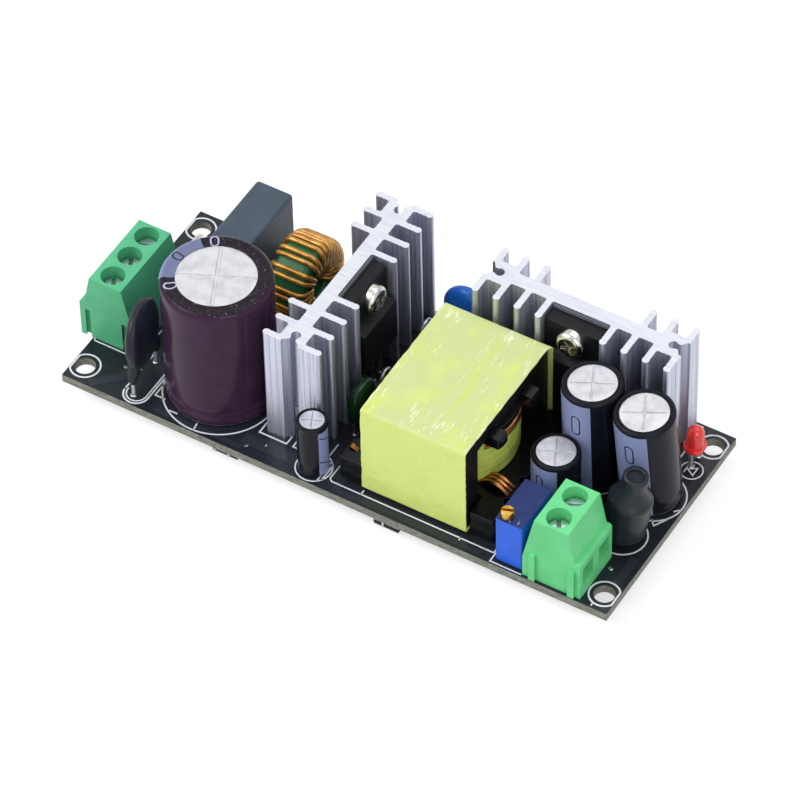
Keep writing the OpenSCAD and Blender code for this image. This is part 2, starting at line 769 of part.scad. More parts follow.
module transformer_pins() {
    color("silver") for (p = rail_pins) at(p.x, p.y) lead(body_z);
}

// Electrolytic capacitors, each a can in a shrunk sleeve, standing at the origin

module can(d, h) {
    wall_r = d / 2 - sleeve_t;
    edge = d * 0.06;
    bead_z = d > 9 ? 2.2 : 1.5;
    score_w = d * 0.03;
    difference() {
        rotate_extrude()
            difference() {
                union() {
                    square([wall_r - edge, h]);
                    square([wall_r, h - edge]);
                    translate([wall_r - edge, h - edge]) circle(edge, $fn = 32);
                }
                translate([wall_r + 0.15, bead_z]) circle(0.55, $fn = 32);
            }
        for (a = [25, 115]) rotate([0, 0, a])
            translate([-wall_r * 0.72, -score_w / 2, h - 0.2]) cube([wall_r * 1.44, score_w, 1]);
    }
}

module sleeve(d, h) {
    inner = d / 2 - sleeve_t;
    lip = d > 15 ? d * 0.36 : d * 0.4;
    rotate_extrude() difference() {
        square([d / 2, h + sleeve_t]);
        square([inner, h]);
        square([lip, h + 1]);
    }
}

// Bores for the leads of a can, left clear in a piece that leans
module lead_bores(x, y, pitch, top) {
    for (s = [-1, 1]) at(x, y + s * pitch / 2, -1) cylinder(h = top + 1, d = lead_d + 2 * thread_gap);
}

module bulk_can() { color("#d8d9dc") at(bulk_x, bulk_y, body_z) can(bulk_d, bulk_h); }
module bulk_sleeve() { color("#46324b") at(bulk_x, bulk_y, body_z) sleeve(bulk_d, bulk_h); }
module supply_can() { color("#d8d9dc") at(supply_x, supply_y, body_z) can(supply_d, supply_h); }
module supply_sleeve() { color("#26272c") at(supply_x, supply_y, body_z) sleeve(supply_d, supply_h); }
module short_can() { color("#d8d9dc") at(short_x, short_y, body_z) can(short_d, short_h); }
module short_sleeve() { color("#26272c") at(short_x, short_y, body_z) sleeve(short_d, short_h); }

module tall_can_1() {
    color("#d8d9dc") difference() {
        at(tall_1_x, tall_y, tall_z) rotate(tall_1_lean) can(tall_d, tall_h);
        lead_bores(tall_1_x, tall_y, tall_pitch, 1.6);
    }
}

module tall_sleeve_1() {
    color("#26272c") at(tall_1_x, tall_y, tall_z) rotate(tall_1_lean) sleeve(tall_d, tall_h);
}

module tall_can_2() {
    color("#d8d9dc") difference() {
        at(tall_2_x, tall_y, tall_z) rotate(tall_2_lean) can(tall_d, tall_h);
        lead_bores(tall_2_x, tall_y, tall_pitch, 1.6);
    }
}

module tall_sleeve_2() {
    color("#26272c") at(tall_2_x, tall_y, tall_z) rotate(tall_2_lean) sleeve(tall_d, tall_h);
}

// Mains side parts

// A dipped disc standing on edge, its flat sides facing X
module dipped_disc(d, t) {
    rim = t * 0.28;
    rotate([0, 90, 0]) rotate_extrude()
        polygon([
            [0, -t / 2], [d * 0.26, -t / 2], [d * 0.4, -t * 0.42], [d / 2 - rim * 0.4, -rim],
            [d / 2, 0], [d / 2 - rim * 0.4, rim], [d * 0.4, t * 0.42], [d * 0.26, t / 2], [0, t / 2]
        ]);
}

module thermistor() {
    color("#1f1f24") difference() {
        at(thermistor_x, thermistor_y, thermistor_z) rotate(thermistor_lean)
            dipped_disc(thermistor_d, thermistor_t);
        for (s = [-1, 1]) at(thermistor_x - s * thermistor_out, thermistor_y + s * thermistor_pitch / 2, 0)
            cylinder(h = thermistor_foot, d = lead_d + 2 * thread_gap);
    }
}

module disc_capacitor() {
    color("#1f63c4") difference() {
        at(disc_x, disc_y, disc_z) rotate([0, 0, 90]) dipped_disc(disc_d, 3.2);
        for (s = [-1, 1]) at(disc_x + s * disc_pitch / 2, disc_y, 0)
            cylinder(h = disc_foot, d = lead_d + 2 * thread_gap);
    }
}

module fuse_tube() {
    color("#cfc4ab") at(fuse_x, fuse_y + fuse_cap_l, fuse_z) rotate([-90, 0, 0])
        cylinder(h = fuse_l - 2 * fuse_cap_l, d = fuse_d - 0.2);
}

// The end caps with their bent wires
module fuse_caps() {
    color("silver") for (s = [0, 1])
        at(fuse_x, fuse_y + fuse_l / 2, 0) mirror([0, s, 0]) {
            translate([0, -fuse_l / 2, fuse_z]) rotate([-90, 0, 0]) cylinder(h = fuse_cap_l, d = fuse_d);
            translate([0, -fuse_l / 2, fuse_z - bend_r]) rotate([0, -90, 0]) rotate([0, 0, -90])
                rotate_extrude(angle = 90) translate([bend_r, 0]) circle(d = lead_d, $fn = 24);
            translate([0, -fuse_l / 2 - bend_r, 0]) lead(fuse_z - bend_r);
        }
}

module suppression_capacitor() {
    color("#5b646b") at(xcap_x, xcap_y, body_z) round_box_y([xcap_t, xcap_l, xcap_h], 0.7);
}

// Choke, its axis along X

module at_choke() {
    at(choke_x, choke_y, choke_z()) rotate([0, 90, 0]) rotate([0, 0, 90]) children();
}

module choke_core() {
    edge = 1.1;
    color("#1f7a4a") at_choke() rotate_extrude()
        translate([choke_hole_d / 2, -choke_t / 2])
            round_rect((choke_d - choke_hole_d) / 2, choke_t, edge);
}

// One flat turn round the core's section
module choke_turn() {
    ring = (choke_d - choke_hole_d) / 2;
    edge = 1.1;
    translate([choke_hole_d / 2 - choke_wire, choke_wire / 2, -choke_t / 2 - choke_wire])
        rotate([90, 0, 0]) linear_extrude(choke_wire)
            difference() {
                round_rect(ring + 2 * choke_wire, choke_t + 2 * choke_wire, edge + choke_wire);
                translate([choke_wire, choke_wire]) round_rect(ring, choke_t, edge);
            }
}

// Close turns over the back and top, spaced pairs down the front
dense_turns = 13;
dense_step = 9.6;
pair_count = 5;
pair_step = 28;
turn_angles = concat(
    [for (i = [0:dense_turns - 1]) -30 + i * dense_step],
    [for (i = [0:pair_count - 1]) for (k = [0, 10]) 101 + i * pair_step + k]
);

module choke_winding() {
    color("#b9812f") at_choke() for (a = turn_angles) rotate([0, 0, a]) choke_turn();
}

// Small parts

module film_capacitor() {
    base = 1.2;
    color("#14532d") difference() {
        at(film_x - film_t / 2, film_y - film_l / 2, base) round_box_y([film_t, film_l, film_h], 1.2);
        for (s = [-1, 1]) at(film_x, film_y + s * film_pitch / 2, 0)
            cylinder(h = 2.4, d = lead_d + 2 * thread_gap);
    }
}

// An axial part stood on end, its upper wire bent over and down to the board
module standing_axial(d, h) {
    foot = 1;
    top = foot + h + 0.6;
    translate([0, 0, foot]) cylinder(h = h, d = d);
    lead(foot);
    translate([0, 0, foot + h]) cylinder(h = 0.6, d = lead_d);
    translate([0, -loop_r, top]) rotate([90, 0, 90])
        rotate_extrude(angle = 180) translate([loop_r, 0]) circle(d = lead_d, $fn = 24);
    translate([0, -2 * loop_r, 0]) lead(top);
}

module standing_diode() { color("#2a2a2c") at(diode_x, diode_y) standing_axial(2.7, 5.2); }
module standing_resistor() {
    color("#7f7a70") at(resistor_x, resistor_y) rotate([0, 0, 180]) standing_axial(resistor_d, 4);
}

module rod_inductor() {
    shoulder_z = 8.8;
    neck_d = 4.3;
    neck_z = 11.2;
    top_z = 14.3;
    color("#2c2d33") difference() {
        at(rod_x, rod_y, rod_z) rotate(rod_lean) rotate_extrude()
            polygon([
                [0, 0], [rod_d / 2 - 0.8, 0], [rod_d / 2 - 0.2, 0.6], [rod_d / 2, 1.6],
                [rod_d / 2, shoulder_z], [rod_d / 2 - 0.5, shoulder_z + 0.7],
                [neck_d / 2 + 0.5, neck_z - 0.6], [neck_d / 2, neck_z], [neck_d / 2, top_z - 0.2],
                [neck_d / 2 - 0.3, top_z], [0, top_z]
            ]);
        for (s = [-1, 1]) at(rod_x, rod_y + s * rod_pitch / 2, 0)
            cylinder(h = 2.2, d = lead_d + 2 * thread_gap);
    }
}

trim_screw_x = trim_x + 1.45;
trim_screw_y = trim_y + 1.35;
trim_bore = 3.2;

module trimmer_body() {
    edge = 0.25;
    foot = 0.8;
    color("#2f62d8") difference() {
        union() {
            at(trim_x, trim_y, trim_z) round_box([trim_w, trim_l, trim_h - trim_z], edge);
            for (y = [0.2, trim_l - foot - 0.2]) at(trim_x + 0.2, trim_y + y, 0)
                cube([trim_w - 0.4, foot, trim_z + 0.1]);
        }
        at(trim_screw_x, trim_screw_y, trim_h - trim_bore)
            cylinder(h = trim_bore + 1, d = trim_screw_d + 2 * thread_gap);
    }
}

module trimmer_screw() {
    proud = 1.4;
    slot_w = 0.55;
    color("#c79a3a") at(trim_screw_x, trim_screw_y, trim_h - trim_bore + thread_gap)
        difference() {
            rotate_extrude() head_profile(trim_screw_d, trim_bore + proud, 0.2);
            rotate([0, 0, 20]) translate([-trim_screw_d, -slot_w / 2, trim_bore + proud - 0.7])
                cube([2 * trim_screw_d, slot_w, 2]);
        }
}

module indicator_lamp() {
    flange_d = lamp_d + 0.8;
    lens_h = 4.8;
    color("#e0231c") difference() {
        at(lamp_x, lamp_y, lamp_z) rotate_extrude() {
            square([flange_d / 2, 1]);
            square([lamp_d / 2, lens_h - lamp_d / 2]);
            intersection() {
                translate([0, lens_h - lamp_d / 2]) circle(lamp_d / 2);
                square([lamp_d, lens_h]);
            }
        }
        at(lamp_x + lamp_d / 2 + 0.15, lamp_y - flange_d, lamp_z - 1) cube([flange_d, 2 * flange_d, 2.2]);
    }
}

module component_leads() {
    color("silver") for (p = lead_points) at(p.x, p.y) lead(p.z);
}

// Underside

controller_l = 3.9;
chip_row_y = core_mid_y + controller_l / 2 + 4.75;

// A moulded package with legs on two sides, hung below the board
module chip(w, l, t, legs, pitch) {
    leg_out = 1;
    leg_w = 0.4;
    draft = 0.15;
    translate([0, 0, -board_t]) mirror([0, 0, 1]) {
        translate([-w / 2, -l / 2, 0.1]) cube([w, l, t - 0.1]);
        translate([-w / 2 - draft, -l / 2 - draft, t / 2 - 0.1]) cube([w + 2 * draft, l + 2 * draft, 0.2]);
        for (s = [-1, 1]) for (i = [0:legs - 1])
            translate([(i - (legs - 1) / 2) * pitch - leg_w / 2, s > 0 ? l / 2 : -l / 2 - leg_out, 0])
                cube([leg_w, leg_out, t / 2]);
    }
}

module bridge_rectifier() { color("#222325") at(bulk_x + 6.3, 3.3) chip(4.7, 3.9, 2.3, 2, 2.54); }
module surface_diode() { color("#222325") at(core_mid_x - 4, 2.9) chip(4.6, 3.8, 2.4, 1, 1); }
module controller_chip() { color("#222325") at(hs1_x - 2, core_mid_y) chip(4.9, controller_l, 1.6, 4, 1.27); }
module optocoupler() { color("#222325") at(core_mid_x, core_mid_y + 9.5) chip(4.4, 3.9, 2.1, 2, 2.54); }

// Chip resistors and capacitors in two short rows
module chip_parts() {
    color("#4a4238") {
        for (i = [0:4]) at(hs1_x - 7 + i * 2.2, chip_row_y, -board_t - 0.55) cube([1.25, 2, 0.55]);
        for (i = [0:4]) at(core_mid_x - 5 + i * 2.2, core_mid_y + 2, -board_t - 0.55) cube([1.25, 2, 0.55]);
    }
}

circuit_board();
ac_terminal_housing();
ac_terminal_pins();
ac_terminal_screw_1();
ac_terminal_screw_2();
ac_terminal_screw_3();
ac_wire_clamp_1();
ac_wire_clamp_2();
ac_wire_clamp_3();
dc_terminal_housing();
dc_terminal_pins();
dc_terminal_screw_1();
dc_terminal_screw_2();
dc_wire_clamp_1();
dc_wire_clamp_2();
thermistor();
fuse_tube();
fuse_caps();
suppression_capacitor();
choke_core();
choke_winding();
bulk_can();
bulk_sleeve();
primary_heatsink();
output_heatsink();
heatsink_pins();
switch_transistor();
output_rectifier();
insulating_pads();
fixing_screws();
transformer_core();
transformer_bobbin();
transformer_coil();
transformer_tape();
transformer_wires();
transformer_pins();
supply_can();
supply_sleeve();
short_can();
short_sleeve();
tall_can_1();
tall_sleeve_1();
tall_can_2();
tall_sleeve_2();
film_capacitor();
disc_capacitor();
standing_diode();
standing_resistor();
rod_inductor();
trimmer_body();
trimmer_screw();
indicator_lamp();
component_leads();
bridge_rectifier();
surface_diode();
controller_chip();
optocoupler();
chip_parts();
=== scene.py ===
import bpy
import bmesh
import json
from math import atan2, copysign, cos, dist, hypot, pi, radians, sin
from mathutils import Matrix, Vector, noise

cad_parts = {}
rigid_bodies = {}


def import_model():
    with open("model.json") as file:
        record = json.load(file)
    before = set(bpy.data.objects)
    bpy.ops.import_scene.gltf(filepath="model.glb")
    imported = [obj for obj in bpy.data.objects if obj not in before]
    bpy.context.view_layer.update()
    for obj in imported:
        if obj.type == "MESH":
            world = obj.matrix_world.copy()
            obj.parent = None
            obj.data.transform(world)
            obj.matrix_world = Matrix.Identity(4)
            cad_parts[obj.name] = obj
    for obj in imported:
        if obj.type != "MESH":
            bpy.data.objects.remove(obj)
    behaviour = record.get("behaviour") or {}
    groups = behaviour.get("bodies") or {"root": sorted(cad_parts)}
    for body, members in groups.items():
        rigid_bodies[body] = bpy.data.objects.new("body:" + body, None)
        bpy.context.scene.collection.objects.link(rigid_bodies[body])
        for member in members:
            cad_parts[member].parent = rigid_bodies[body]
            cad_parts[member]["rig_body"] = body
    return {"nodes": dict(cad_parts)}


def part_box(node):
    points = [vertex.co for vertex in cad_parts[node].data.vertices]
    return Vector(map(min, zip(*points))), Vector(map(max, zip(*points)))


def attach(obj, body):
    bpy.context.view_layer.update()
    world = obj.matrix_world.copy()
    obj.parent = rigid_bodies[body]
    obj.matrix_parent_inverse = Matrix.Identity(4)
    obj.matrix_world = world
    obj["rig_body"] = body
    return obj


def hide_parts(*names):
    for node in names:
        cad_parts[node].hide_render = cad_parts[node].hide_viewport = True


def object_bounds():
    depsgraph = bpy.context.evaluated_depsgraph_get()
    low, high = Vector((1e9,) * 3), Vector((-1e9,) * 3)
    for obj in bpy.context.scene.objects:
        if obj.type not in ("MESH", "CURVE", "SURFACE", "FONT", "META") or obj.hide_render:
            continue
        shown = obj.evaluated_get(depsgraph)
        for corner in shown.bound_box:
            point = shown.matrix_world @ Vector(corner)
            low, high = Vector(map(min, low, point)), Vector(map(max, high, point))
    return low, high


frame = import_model()
CAD_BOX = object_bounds()
NODES = frame["nodes"]
ROOT = "supply"
scene = bpy.context.scene

# Sizes are in millimetres. Places count from the board's front left corner and its top face.
MM = 1000
BOARD_LO, BOARD_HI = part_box("circuit_board")
BOARD_L, BOARD_W, BOARD_T = (round(size * MM, 3) for size in BOARD_HI - BOARD_LO)
UNDER = -BOARD_T


def spot(x, y, z):
    """A place on the board, as a point of the frame in metres."""
    return Vector(((x - BOARD_L / 2) / MM, (y - BOARD_W / 2) / MM, (z + BOARD_T) / MM))


def on_board(point):
    """A point of the frame, as a place on the board."""
    return Vector((point.x * MM + BOARD_L / 2, point.y * MM + BOARD_W / 2, point.z * MM - BOARD_T))


def box_of(node):
    """The lowest and the highest corner of a CAD node, as places on the board."""
    return [tuple(round(v, 3) for v in on_board(corner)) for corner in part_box(node)]


def middle(node):
    lo, hi = box_of(node)
    return tuple(round((a + b) / 2, 3) for a, b in zip(lo, hi))


def wobble(x, y, z):
    """Smooth noise at a point, between -1 and 1."""
    return noise.noise(Vector((x, y, z)))


def srgb(r, g, b):
    """A colour from 0 to 255, as the linear values that shaders take."""
    out = []
    for c in (r, g, b):
        c /= 255
        out.append(c / 12.92 if c <= 0.04045 else ((c + 0.055) / 1.055) ** 2.4)
    return (*out, 1.0)


def link(source, target):
    """Joins two shader sockets."""
    target.id_data.links.new(source, target)


def operation(kind):
    return lambda value, other=None: value.math(kind, other)


class Value:
    """A number that a shader works out at each point."""

    __add__, __sub__ = operation("ADD"), operation("SUBTRACT")
    __mul__, __truediv__ = operation("MULTIPLY"), operation("DIVIDE")
    above, below = operation("GREATER_THAN"), operation("LESS_THAN")
    most, power = operation("MAXIMUM"), operation("POWER")
    abs, fraction = operation("ABSOLUTE"), operation("FRACT")

    def __init__(self, tree, socket):
        self.tree = tree
        self.socket = socket

    def math(self, kind, other):
        node = self.tree.nodes.new("ShaderNodeMath")
        node.operation = kind
        link(self.socket, node.inputs[0])
        if isinstance(other, Value):
            link(other.socket, node.inputs[1])
        elif other is not None:
            node.inputs[1].default_value = other
        return Value(self.tree, node.outputs[0])

    def reverse(self):
        """1 where the value is 0, and 0 where it is 1."""
        return self * -1 + 1

    def span(self, zero, one, low=0.0, high=1.0):
        """Low where the value is zero or less, and high where it is one or more."""
        node = self.tree.nodes.new("ShaderNodeMapRange")
        for name, edge in (("From Min", zero), ("From Max", one), ("To Min", low), ("To Max", high)):
            node.inputs[name].default_value = edge
        link(self.socket, node.inputs["Value"])
        return Value(self.tree, node.outputs["Result"])


class Finish:
    """A Principled material."""

    def __init__(self, name, colour, rough, metal=0.0):
        self.material = bpy.data.materials.new(name)
        self.material.use_nodes = True
        self.tree = self.material.node_tree
        self.shader = self.tree.nodes["Principled BSDF"]
        self.places = self.tree.nodes.new("ShaderNodeTexCoord")
        self.tint = None
        self.normal = None
        self.set(Base_Color=srgb(*colour), Roughness=rough, Metallic=metal, IOR=1.5)

    def set(self, **inputs):
        for name, value in inputs.items():
            self.shader.inputs[name.replace("_", " ")].default_value = value

    def xyz(self, kind):
        """The three coordinates of a kind, such as Object (metres) or UV."""
        node = self.tree.nodes.new("ShaderNodeSeparateXYZ")
        link(self.places.outputs[kind], node.inputs[0])
        return [Value(self.tree, output) for output in node.outputs]

    def noise(self, scale, detail=3, rough=0.5):
        """Noise with scale features a metre, as one number or as three, for x, y and z."""
        mapping = self.tree.nodes.new("ShaderNodeMapping")
        mapping.inputs["Scale"].default_value = scale if isinstance(scale, tuple) else (scale,) * 3
        link(self.places.outputs["Object"], mapping.inputs["Vector"])
        node = self.tree.nodes.new("ShaderNodeTexNoise")
        link(mapping.outputs["Vector"], node.inputs["Vector"])
        for name, value in (("Scale", 1.0), ("Detail", detail), ("Roughness", rough)):
            node.inputs[name].default_value = value
        return Value(self.tree, node.outputs["Fac"])

    def mix(self, share, colour):
        """Lays a colour over what is there, by a share that varies over the surface."""
        node = self.tree.nodes.new("ShaderNodeMix")
        node.data_type = "RGBA"
        factor, under, over = node.inputs[0], node.inputs[6], node.inputs[7]
        link(share.socket, factor)
        under.default_value = self.shader.inputs["Base Color"].default_value
        if self.tint:
            link(self.tint, under)
        over.default_value = srgb(*colour)
        self.tint = node.outputs[2]
        link(self.tint, self.shader.inputs["Base Color"])

    def roughness(self, value, low, high):
        link(value.span(0.0, 1.0, low, high).socket, self.shader.inputs["Roughness"])

    def bump(self, value, depth):
        """Raises the surface by depth where the value is 1."""
        node = self.tree.nodes.new("ShaderNodeBump")
        node.inputs["Distance"].default_value = depth / MM
        node.inputs["Strength"].default_value = 1.0
        link(value.socket, node.inputs["Height"])
        if self.normal:
            link(self.normal, node.inputs["Normal"])
        self.normal = node.outputs["Normal"]
        link(self.normal, self.shader.inputs["Normal"])


# Meshes and pieces
SMOOTH = 32  # degrees below which an edge is shaded smooth
WELD = 2e-6  # metres below which two points are one


def new_object(name, data):
    ob = bpy.data.objects.new(name, data)
    scene.collection.objects.link(ob)
    return ob


def piece(name, mesh, finishes, node=None, slot=None, smooth=SMOOTH):
    """Adds a mesh, on the root body or in place of a CAD node."""
    ob = new_object(name, mesh)
    for finish in finishes:
        mesh.materials.append(finish.material)
    if smooth is not None:
        mesh.polygons.foreach_set("use_smooth", [True] * len(mesh.polygons))
        mesh.set_sharp_from_angle(angle=radians(smooth))
    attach(ob, NODES[node]["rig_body"] if node else ROOT)
    if node:
        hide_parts(node)
    return ob


def as_mesh(name, bm):
    bmesh.ops.recalc_face_normals(bm, faces=bm.faces)
    mesh = bpy.data.meshes.new(name)
    bm.to_mesh(mesh)
    bm.free()
    return mesh


def add(name, bm, finishes, **how):
    """Makes a piece of a shape in board millimetres."""
    for v in bm.verts:
        v.co = spot(*v.co)
    return piece(name, as_mesh(name, bm), finishes, **how)


def modified(mesh, kind, **settings):
    """The mesh with one modifier applied."""
    ob = new_object("tmp", mesh)
    modifier = ob.modifiers.new("modifier", kind)
    for name, value in settings.items():
        setattr(modifier, name, value)
    out = bpy.data.meshes.new_from_object(ob.evaluated_get(bpy.context.evaluated_depsgraph_get()))
    bpy.data.objects.remove(ob)
    return out


def bevelled(mesh, width, segments=2, angle=SMOOTH):
    mesh.polygons.foreach_set("use_smooth", [True] * len(mesh.polygons))
    return modified(mesh, "BEVEL", harden_normals=True, width=width / MM, segments=segments,
                    limit_method="ANGLE", angle_limit=radians(angle))


def welded(node):
    mesh = NODES[node].data.copy()
    mesh.materials.clear()
    bm = bmesh.new()
    bm.from_mesh(mesh)
    bmesh.ops.remove_doubles(bm, verts=bm.verts, dist=WELD)
    return bm


def cad_mesh(node, flat=1.5):
    """A CAD solid, with one face where faces meet at less than flat degrees."""
    bm = welded(node)
    bmesh.ops.dissolve_limit(bm, angle_limit=radians(flat), verts=bm.verts, edges=bm.edges)
    mesh = as_mesh(node, bm)
    if mesh.attributes.get("custom_normal"):
        mesh.attributes.remove(mesh.attributes["custom_normal"])
    return mesh


def soften(node, finishes, width, segments=2, angle=SMOOTH, slot=None, mesh=None):
    """The CAD solid with its edges eased, in place of the node."""
    mesh = bevelled(mesh or cad_mesh(node), width, segments, angle)
    return piece(node + "_eased", mesh, finishes, node=node, slot=slot, smooth=None)


def second_finish(ob, test):
    """Gives faces a piece's second finish by a test of their middle, on the board, and normal."""
    for face in ob.data.polygons:
        if test(on_board(face.center), face.normal):
            face.material_index = 1


def islands(node):
    """The separate solids of a node, each as a list of its points on the board."""
    bm = welded(node)
    seen, found = set(), []
    for first in bm.verts:
        if first in seen:
            continue
        seen.add(first)
        waiting, part = [first], []
        while waiting:
            here = waiting.pop()
            part.append(on_board(here.co))
            near = [v for edge in here.link_edges for v in edge.verts if v not in seen]
            seen.update(near)
            waiting += near
        found.append(part)
    bm.free()
    return found


# Shape builders, in board millimetres
def lathe(bm, profile, seg, at=(0, 0), closed=False, uvs=True):
    """Adds a shape turned round an upright line, from a profile of (radius, height).
    u counts turns, and v is the length along the profile, in tenths of a metre."""
    layer = bm.loops.layers.uv.verify() if uvs else None
    turns = [2 * pi * k / seg for k in range(seg)]
    rings, along = [], [0.0]
    for a, b in zip(profile, profile[1:]):
        along.append(along[-1] + dist(a, b))
    for r, z in profile:
        ring = [(at[0] + r * cos(a), at[1] + r * sin(a), z) for a in turns] if r else [(*at, z)]
        rings.append([bm.verts.new(point) for point in ring])
    for i in range(len(profile) if closed else len(profile) - 1):
        j = (i + 1) % len(profile)
        a, b = rings[i], rings[j]
        for k in range(seg):
            n = (k + 1) % seg
            # A ring on the axis is one point, which then stands for two corners
            corners = {a[k % len(a)]: (k, i), b[k % len(b)]: (k, j)}
            corners |= {b[n % len(b)]: (k + 1, j), a[n % len(a)]: (k + 1, i)}
            face = bm.faces.new(tuple(corners))
            if layer:
                for loop, (turn, row) in zip(face.loops, corners.values()):
                    loop[layer].uv = (turn / seg, along[row] / 100)


def place(bm, at, lean=(0, 0, 0)):
    """Turns a shape by degrees about X, then Y, then Z, and sets it on the board."""
    rx, ry, rz = (radians(v) for v in lean)
    turn = Matrix.Rotation(rz, 4, "Z") @ Matrix.Rotation(ry, 4, "Y") @ Matrix.Rotation(rx, 4, "X")
    for v in bm.verts:
        v.co = turn @ v.co + Vector(at)


def scale_radius(bm, factor, least=0.1):
    """Multiplies each point's distance from the upright line by factor(radius, angle, height)."""
    for v in bm.verts:
        r = hypot(v.co.x, v.co.y)
        if r > least:
            k = factor(r, atan2(v.co.y, v.co.x), v.co.z)
            v.co.x *= k
            v.co.y *= k


def arc(cx, cy, r, start, end, count):
    """Points on an arc between two angles in degrees, both ends included."""
    angles = [radians(start + (end - start) * i / count) for i in range(count + 1)]
    return [(cx + r * cos(a), cy + r * sin(a)) for a in angles]


def circle(x, y, r, count=56):
    return arc(x, y, r, 0, 360, count)[:-1]


def tube(bm, points, radii, seg=12):
    """Adds a round wire. radii is one radius, or a list with one for each point."""
    points = [Vector(p) for p in points]
    if not isinstance(radii, list):
        radii = [radii] * len(points)
    around = [points[0], *points, points[-1]]
    ways = [(after - before).normalized() for before, after in zip(around, around[2:])]
    turns = [2 * pi * k / seg for k in range(seg)]
    side = ways[0].orthogonal().normalized()
    rings = []
    for point, way, r in zip(points, ways, radii):
        side = (side - way * side.dot(way)).normalized()
        other = way.cross(side)
        rings.append([bm.verts.new(point + r * (cos(a) * side + sin(a) * other)) for a in turns])
    for a, b in zip(rings, rings[1:]):
        for k in range(seg):
            n = (k + 1) % seg
            bm.faces.new((a[k], a[n], b[n], b[k]))
    bm.faces.new(list(reversed(rings[0])))
    bm.faces.new(rings[-1])


def smooth_path(points, steps):
    """A Catmull-Rom curve through the points, with steps from each to the next."""
    p = [Vector(q) for q in points]
    p = [p[0] * 2 - p[1]] + p + [p[-1] * 2 - p[-2]]
    out = []
    for a, b, c, d in zip(p, p[1:], p[2:], p[3:]):
        for k in range(steps):
            t = k / steps
            curve = (2 * a - 5 * b + 4 * c - d) * t ** 2 + (3 * b - a - 3 * c + d) * t ** 3
            out.append(0.5 * (2 * b + (c - a) * t + curve))
    return out + [p[-2]]


def prism(bm, outline, bottom, top):
    lo, hi = ([bm.verts.new((*p, z)) for p in outline] for z in (bottom, top))
    for i in range(len(outline)):
        bm.faces.new((lo[i - 1], lo[i], hi[i], hi[i - 1]))
    bm.faces.new(list(reversed(lo)))
    bm.faces.new(hi)


def strip(bm, points, width, bottom, top, closed=False):
    """Adds a flat line of ink or copper along points, with square ends and mitred corners."""
    p = [Vector(q) for q in points]
    count = len(p)
    ways = [(p[(i + 1) % count] - p[i]).normalized() for i in range(count)]
    left, right = [], []
    for i in range(count):
        into = ways[i - 1] if closed or i else ways[0]
        out = ways[i] if closed or i < count - 1 else into
        mitre = (into + out).normalized() if (into + out).length > 1e-6 else out
        normal = Vector((-mitre.y, mitre.x))
        reach = normal * width / 2 / max(0.35, normal.dot(Vector((-out.y, out.x))))
        end = 0 if closed or 0 < i < count - 1 else width / 2
        past = end * (into if i else -out)
        left.append(p[i] + reach + past)
        right.append(p[i] - reach + past)
    low_l, top_l, low_r, top_r = (
        [bm.verts.new((*q, z)) for q in side] for side in (left, right) for z in (bottom, top)
    )
    for i in range(count if closed else count - 1):
        j = (i + 1) % count
        bm.faces.new((top_l[i], top_l[j], top_r[j], top_r[i]))
        bm.faces.new((low_l[j], low_l[i], low_r[i], low_r[j]))
        bm.faces.new((low_l[i], low_l[j], top_l[j], top_l[i]))
        bm.faces.new((low_r[j], low_r[i], top_r[i], top_r[j]))
    if not closed:
        bm.faces.new((low_l[0], top_l[0], top_r[0], low_r[0]))
        bm.faces.new((top_l[-1], low_l[-1], low_r[-1], top_r[-1]))


def dipped_disc(bm, diameter, thick, steps, seg, edge):
    """Adds a flat lying disc with rounded faces. The smaller the power edge, the fuller the disc."""
    angles = [pi / 2 * i / steps for i in range(steps + 1)]
    half = [(diameter / 2 * sin(a) ** edge, -thick / 2 * cos(a) ** (edge - 0.1)) for a in angles]
    lathe(bm, half + [(r, -z) for r, z in reversed(half[:-1])], seg)


# Finishes. Noise scales count features a metre, and the height of bumps is in millimetres.
def layered(name, colour, rough, mottle, grain, gloss=None, metal=0.0, **inputs):
    """A pattern is a tuple of noise settings. mottle is (pattern, from, to, colour), grain is
    (pattern, height) and gloss, which drives the roughness, is (pattern, low, high)."""
    finish = Finish(name, colour, rough, metal)
    finish.set(**inputs)
    pattern, zero, one, other = mottle
    finish.mix(finish.noise(*pattern).span(zero, one), other)
    if gloss:
        pattern, low, high = gloss
        finish.roughness(finish.noise(*pattern), low, high)
    pattern, height = grain
    finish.bump(finish.noise(*pattern), height)
    return finish


def moulded(name, colour, dark, rough=0.42, grain=0.01, sheen=0.3):
    """Injection moulded plastic: a soft mottle, a fine grain and a slight sheen."""
    return layered(name, colour, rough, ((260,), 0.35, 0.75, dark), ((4200,), grain),
                   ((900, 4), rough - 0.08, rough + 0.1), Specular_IOR_Level=sheen)


def worn_metal(name, colour, dark, rough, streak=900, grain=0.006):
    return layered(name, colour, rough, ((streak, 4), 0.4, 0.8, dark), ((3 * streak,), grain),
                   ((streak,), rough - 0.08, rough + 0.14), metal=1.0)


def lacquer(name, colour, dark, rough):
    """Solder mask, smooth and a little cloudy."""
    return layered(name, colour, rough, ((110,), 0.4, 0.7, dark), ((2200,), 0.01),
                   ((600,), 0.22, rough + 0.06), Specular_IOR_Level=0.25)


